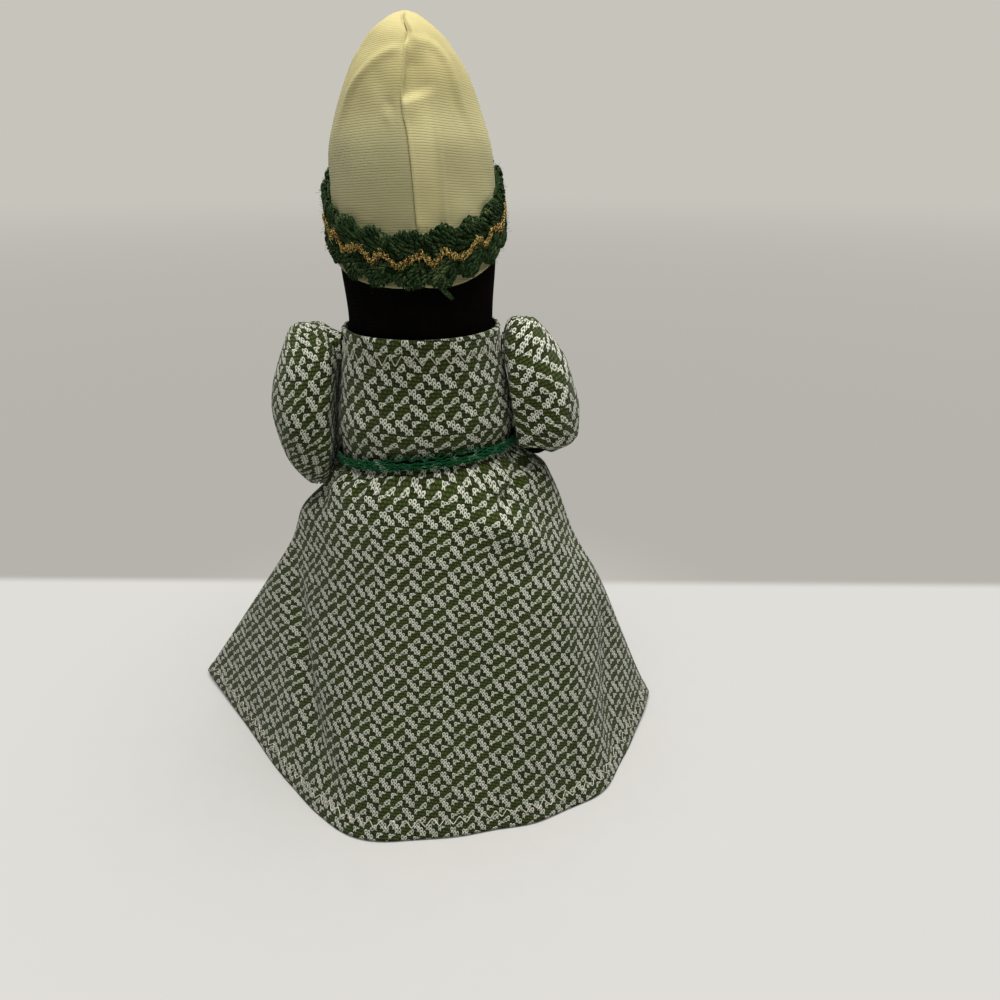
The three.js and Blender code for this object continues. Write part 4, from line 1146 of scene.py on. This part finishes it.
def hat_detail(angle, height, side):
    """How far the hat's cloth stands out from its plain form."""
    angle, height = np.broadcast_arrays(angle, height)
    degrees = np.mod(np.degrees(angle) + 90, 360) - 90
    radius = HAT_RADIUS * (1 - hat_shape(up_the_hat(height))[..., 0])
    inside = (ramp(degrees - HOLLOW_LEFT(height)[..., 0], -2, 9)
              * ramp(HOLLOW_RIGHT(height)[..., 0] - degrees, -2, 9))
    detail = -0.6 * inside * ramp(height, 300, 316) * fade(height, 318, 330)
    across = radians(degrees - MIDDLE_DEGREES) * radius
    for crease_height, width, line in HAT_CREASES:
        away, share = distance_to_line(across, height, line, radius)
        taper = 0.45 if len(line) < 5 else 0.15
        ends = ramp(share, -0.01, taper) * ramp(1 - share, -0.01, 2 * taper)
        detail = detail + crease_height * bell(away, width) * ends
    # Along the seam: its lip, the ledge and bulge beside it, and the stitched allowance below
    seam = radians(degrees - SEAM_LINE(height)[..., 0]) * radius
    lip = 0.35 * bell(seam - 0.5, 1.0) if side < 0 else -0.22 * bell(seam, 1.3)
    shelf = height - 0.3 * seam
    ledge = -2.0 * fade(height, 330, 338) * ramp(shelf, 315.5, 321)
    bulge = 0.9 * bell(shelf - 315, 5) * bell(seam - 3, 4.5)
    beside = ramp(seam, 0, 1.6) * fade(degrees, 102, 124)
    lobes = 0.6 * np.sqrt(np.abs(cos(angle))) * bell(height - 350, 2.4)
    allowance = 0.35 * ramp(seam, 0, 1.2) * fade(seam, 12, 14.5) * fade(height, 300, 318)
    front = radians(np.mod(degrees + 270, 360) - 180) * radius
    front_seam = -0.6 * (bell(front, 0.9) - 0.5 * bell(np.abs(front) - 2.2, 1.3))
    return detail + lip + beside * (ledge + bulge) + lobes + allowance + front_seam


def hat_panel(word, side):
    columns, rows = ((170, 190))
    share = linspace(0, 1, columns)[None, :] ** 0.85
    angle = FRONT_ANGLE + side * math.pi * share
    edge = trim_height(angle) - (ROW_HEIGHT + ROW_SPACING / 2) + 2.3 - 4.1 * np.abs(cos(angle)) ** 0.6
    rise = 1 - (1 - linspace(0, 1, rows)[:, None]) ** 1.15
    height = mix(edge, TIP_Z, rise)
    angle = angle + radians(SEAM_LINE(height)[..., 0] - 90) * ramp(share, 0.7, 1)
    grid = hat_point(angle, height)
    grid[..., 0] += side * 0.15 * fade(share, 0.85, 0.97)
    covered = ramp(height - trim_height(angle), ROW_HEIGHT - 2, ROW_HEIGHT + 1)
    detail = hat_detail(angle, height, side) * covered * fade(rise, 0.985, 1.0)
    soft = 0.25 * ripple(grid, 22, 70) * covered * fade(rise, 0.9, 1)
    roll = 0.9 * bell(height - edge, 1.6)
    outer = grid + grid_normals(grid) * (detail + soft + roll)[..., None]
    inner = outer - grid_normals(outer) * HAT_CLOTH
    climb = lengths_along(grid.swapaxes(0, 1)).T
    uv = stacked(angle * HAT_RADIUS, (climb[-1:] - climb) / RIB) + HAT_ORIGIN
    shape = sheet_between(outer, inner, uv=uv)
    piece = add(f"hat_{word}_knit", shape, HAT, "hat", "hat_knit", f"hat_panel_{word}")


hat_panel("left", 1)
hat_panel("right", -1)

# Crocheted trim. Small offsets along its yarn are turned into angles by its radius.
SHELLS, TRIM_RADIUS = 18, 38
# The edge's plies: turns in a shell, inset, size of a loop
EDGE_PLIES = ((6.3, 1.3, 1.15), (5.1, 1.5, 1.0), (7.6, 2.1, 1.1), (4.3, 2.9, 1.0))


def shell_height(angle):
    bulge = np.abs(sin(SHELLS * angle / 2))
    uneven = 0.5 * sin(angle * 7 + 1) + 0.35 * sin(angle * 23)
    return ROW_HEIGHT - 3.4 * (1 - bulge) + uneven, bulge


def trim_core(direction):
    """The body of the row, which fills it behind its stitches."""
    angle = rings_around(SHELLS * 16)[0]
    tall, bulge = shell_height(angle)
    thick, low = 2.6 * mix(0.8, 1, bulge), ROW_SPACING / 2
    section = [(low, 0.1), (tall * 0.5, 0.2), (tall - 1.2, 0.1), (tall - 1.2, 1.0),
               (0.72 * tall, 0.8 * thick), (0.35 * tall, 0.85 * thick), (low, 0.4 * thick)]
    rings = np.stack([trim_point(angle, direction * rise, out) for rise, out in section], 1)
    rings = concatenate([rings, rings[:1]])
    faces = grid_faces(len(rings), len(section), True)
    return rings.reshape(-1, 3), [faces], np.zeros((len(rings) * len(section), 2))


def trim_posts(direction, seed):
    """The stitches of each shell: twisted yarn that fans out from the row's foot."""
    rng = np.random.default_rng(seed)
    share, pitch, posts = linspace(0, 1, 22), TURN / SHELLS, 7
    paths = []
    for shell in range(SHELLS):
        middle = (shell + 0.5) * pitch
        for post in range(posts):
            lean = (post - 3) / posts * pitch
            jitter = rng.normal(size=8)
            angle = middle + lean * mix(0.35, 1.0, share ** 0.8) + 0.010 * jitter[0]
            angle = angle + 0.016 * sin(share * 6 + jitter[4]) * (0.5 + abs(jitter[5]))
            tall, _ = shell_height(middle + lean)
            rise = mix(0.3, tall - 2.0 + 0.3 * jitter[1], share)
            out = mix(0.8, 2.5, sin(share * math.pi * 0.8) ** 0.7)
            out = out + 0.3 * jitter[2] + 0.25 * sin(share * 9 + jitter[6])
            reach = (0.85 + 0.15 * sin(share * 17 + jitter[1])) / TRIM_RADIUS
            for ply in range(2):
                spin = TURN * (share * (2.7 + 0.4 * jitter[7]) + ply / 2 + 0.2 * jitter[3])
                up = direction * (rise + 0.3 * sin(spin * 1.3))
                paths.append(trim_point(angle + reach * cos(spin), up, out + 0.75 * sin(spin)))
    return tubes(paths, POST_YARN, (0.12, 0.18, 0.28))


def trim_edges(direction, seed):
    """The chain that edges the shells, as a looping yarn, and the one along the foot of the row."""
    angle = linspace(0, TURN, SHELLS * 84 + 1)
    tall, bulge = shell_height(angle)
    paths = []
    for ply, (turns, inset, loop) in enumerate(EDGE_PLIES):
        spin = angle * SHELLS * turns + ply * 1.9 + 0.7 * sin(angle * 29 + ply)
        size = loop * (1 + 0.3 * sin(angle * 43 + seed + ply))
        shift = size * 0.5 * sin(spin * 0.5 + ply) / TRIM_RADIUS
        out = 1.5 + 0.9 * bulge + 0.3 * ply / 3 + size * 0.8 * sin(spin)
        paths.append(trim_point(angle + shift, direction * (tall - inset + size * cos(spin)), out))
    for ply in range(3):
        spin = angle * SHELLS * (4 + ply * 0.7) + ply * 2.1
        paths.append(trim_point(angle, direction * (1.7 + 0.8 * cos(spin)), 2.2 + 0.6 * sin(spin)))
    return together(*(tubes([path], EDGE_YARN, (0.02, 0.03, 1)) for path in paths))


def hairs(direction, seed, count):
    """Loose fibres that stand out of the yarn."""
    rng = np.random.default_rng(seed)
    angle = rng.uniform(0, TURN, count)
    rise = direction * rng.uniform(0.0, 1.03, count) * shell_height(angle)[0]
    start = trim_point(angle, rise, 1.8 + 1.2 * rng.uniform(0, 1, count))
    out = stacked(cos(angle), sin(angle), 0)
    way = unit(out * rng.uniform(0.0, 0.8, (count, 1)) + rng.normal(size=(count, 3)) * 0.6)
    bend = rng.normal(size=(count, 3)) * 0.9
    length = minimum(rng.gamma(2.0, 0.3, count), 1.4)[:, None]
    share = linspace(0, 1, 5)[None, :, None]
    paths = start[:, None] + (way * length)[:, None] * share + (bend * length)[:, None] * share ** 2
    return tubes(paths, HAIR, (0.31, 0.2, 0.93), 3)


for word, direction, seed in (("upper", 1, 80), ("lower", -1, 90)):
    row = together(trim_core(direction), trim_posts(direction, seed), trim_edges(direction, seed + 1),
                   hairs(direction, seed + 2, 6000))
    add(f"trim_{word}_yarn", row, TRIM, "hat", "trim_yarn", f"trim_{word}_row")


def gold_strand(seed, phase):
    """One strand of the gold thread, curled round the zigzag that it follows."""
    rng = np.random.default_rng(seed)
    steps_per_bend, bends = 64, 38
    t = linspace(0, bends, bends * steps_per_bend + 1)
    wave = np.abs(np.mod(t + 0.25 * sin(t * 1.7), 2) - 1) * 2 - 1
    spin = TURN * (t * rng.uniform(6.2, 7.8) + phase) + 1.1 * sin(t * 5.1 + seed)
    loop = 1.15 + 0.45 * sin(t * 11.7 + seed) + 0.25 * sin(t * 29.3 + seed)
    up = wave * 2.7 + loop * sin(spin) + 0.4 * sin(t * 3.3 + rng.uniform(0, 6))
    out = TRIM_THICK - 0.3 + 0.45 * cos(spin) + 0.25 * sin(t * 19 + seed)
    return trim_point(t / bends * TURN + 0.6 * loop * cos(spin * 0.7 + seed) / TRIM_RADIUS, up, out)


strands = [gold_strand(seed, phase) for seed, phase in ((1, 0.0), (2, 0.45), (3, 0.2), (4, 0.7))]
loops = tubes(strands, GOLD_STRAND, (0.1, 0.2, 1), 4)
add("gold_thread_loops", loops, GOLD, "hat", "gold_thread", "gold_thread")


def yarn_end():
    """The short end of yarn that hangs below the trim, in four plies."""
    share = linspace(0, 1, 26)
    for ply in range(4):
        spin = TURN * (share * 2.2 + ply / 4)
        fray = ramp(share, 0.7, 1.0) * (ply - 1.5) * 0.35
        angle = radians(107 + share * 9) + (0.6 * cos(spin) + fray) / TRIM_RADIUS
        out = 1.5 + 0.6 * sin(spin) + 0.4 * sin(share * math.pi)
        path = trim_point(angle, -(ROW_HEIGHT - 2 + share * 8.0), out)
        yield tubes([path], END_YARN * (1 - 0.6 * ramp(share, 0.7, 1)), (1, 0.2, 0.1))


add("yarn_end_plies", together(*yarn_end()), TRIM, "hat", "trim_yarn", "trim_yarn_end")

# The card disc is shown as its solid
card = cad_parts["base_card"]
card.data.materials.clear()
card.data.materials.append(CARD)


# Floor, world and light

def show_camera(share, plain, shown, output):
    """Shows the camera one shader to a share, and all other light the plain one."""
    tree = share.tree
    either = new_node(tree, "MixShader")
    for socket, value in zip(either.inputs, (share, Wire(plain.outputs[0]), Wire(shown.outputs[0]))):
        link(value, socket)
    give(tree.nodes[output], Surface=Wire(either.outputs[0]))


def camera_ray(tree):
    return Wire(new_node(tree, "LightPath").outputs["Is Camera Ray"])


floor_material, shader, _, spot = new_material("floor")
tree = floor_material.node_tree
x, y, z = split(spot)
far = 1 - (y + x * 0.012).between(-0.1365, -0.1235)
near_tint = blend_colour(noise(spot, 60, 4.0, 0.6), (201, 200, 196), (206, 205, 201))
give(shader, Base_Color=blend_colour(far, near_tint, (184, 181, 175)), Roughness=0.85,
     Specular_IOR_Level=0.2)
# Far from the doll the floor shows a plain backdrop to the camera, whatever light reaches it
away = (x * x + y * y).root()
wall = blend_colour(away.between(0.3, 5.8), (182, 179, 173), (199, 196, 188))
backdrop = new_node(tree, "Emission", Color=blend_colour(far, (224, 222, 217), wall))
show_camera(camera_ray(tree) * away.between(0.08, 0.27), shader, backdrop, "Material Output")
mesh = bpy.data.meshes.new("floor")
corners = [(6 * x, 6 * y, -0.0005) for x, y in ((-1, -1), (1, -1), (1, 1), (-1, 1))]
mesh.from_pydata(corners, [], [(0, 1, 2, 3)])
mesh.materials.append(floor_material)
floor = put("floor", mesh)

world = bpy.data.worlds.new("studio")
SCENE.world = world
world.use_nodes = True
tree = world.node_tree
background = give(tree.nodes["Background"], Color=(214, 216, 220), Strength=0.22)
seen = new_node(tree, "Background", Color=(199, 196, 188))
show_camera(camera_ray(tree), background, seen, "World Output")

lamp = bpy.data.lights.new("overhead", "AREA")
lamp.shape, lamp.size, lamp.energy, lamp.color = "DISK", 0.9, 13.0, (1.0, 0.985, 0.96)
light = put("overhead", lamp)
light.location = (-0.05, 0.02, 0.97)
way = np.array((0, 0, 0.1)) - np.array(light.location)
yaw, pitch = math.atan2(way[0], -way[1]), math.atan2(math.hypot(way[0], way[1]), -way[2])
light.rotation_euler = (pitch, 0, yaw + math.pi)
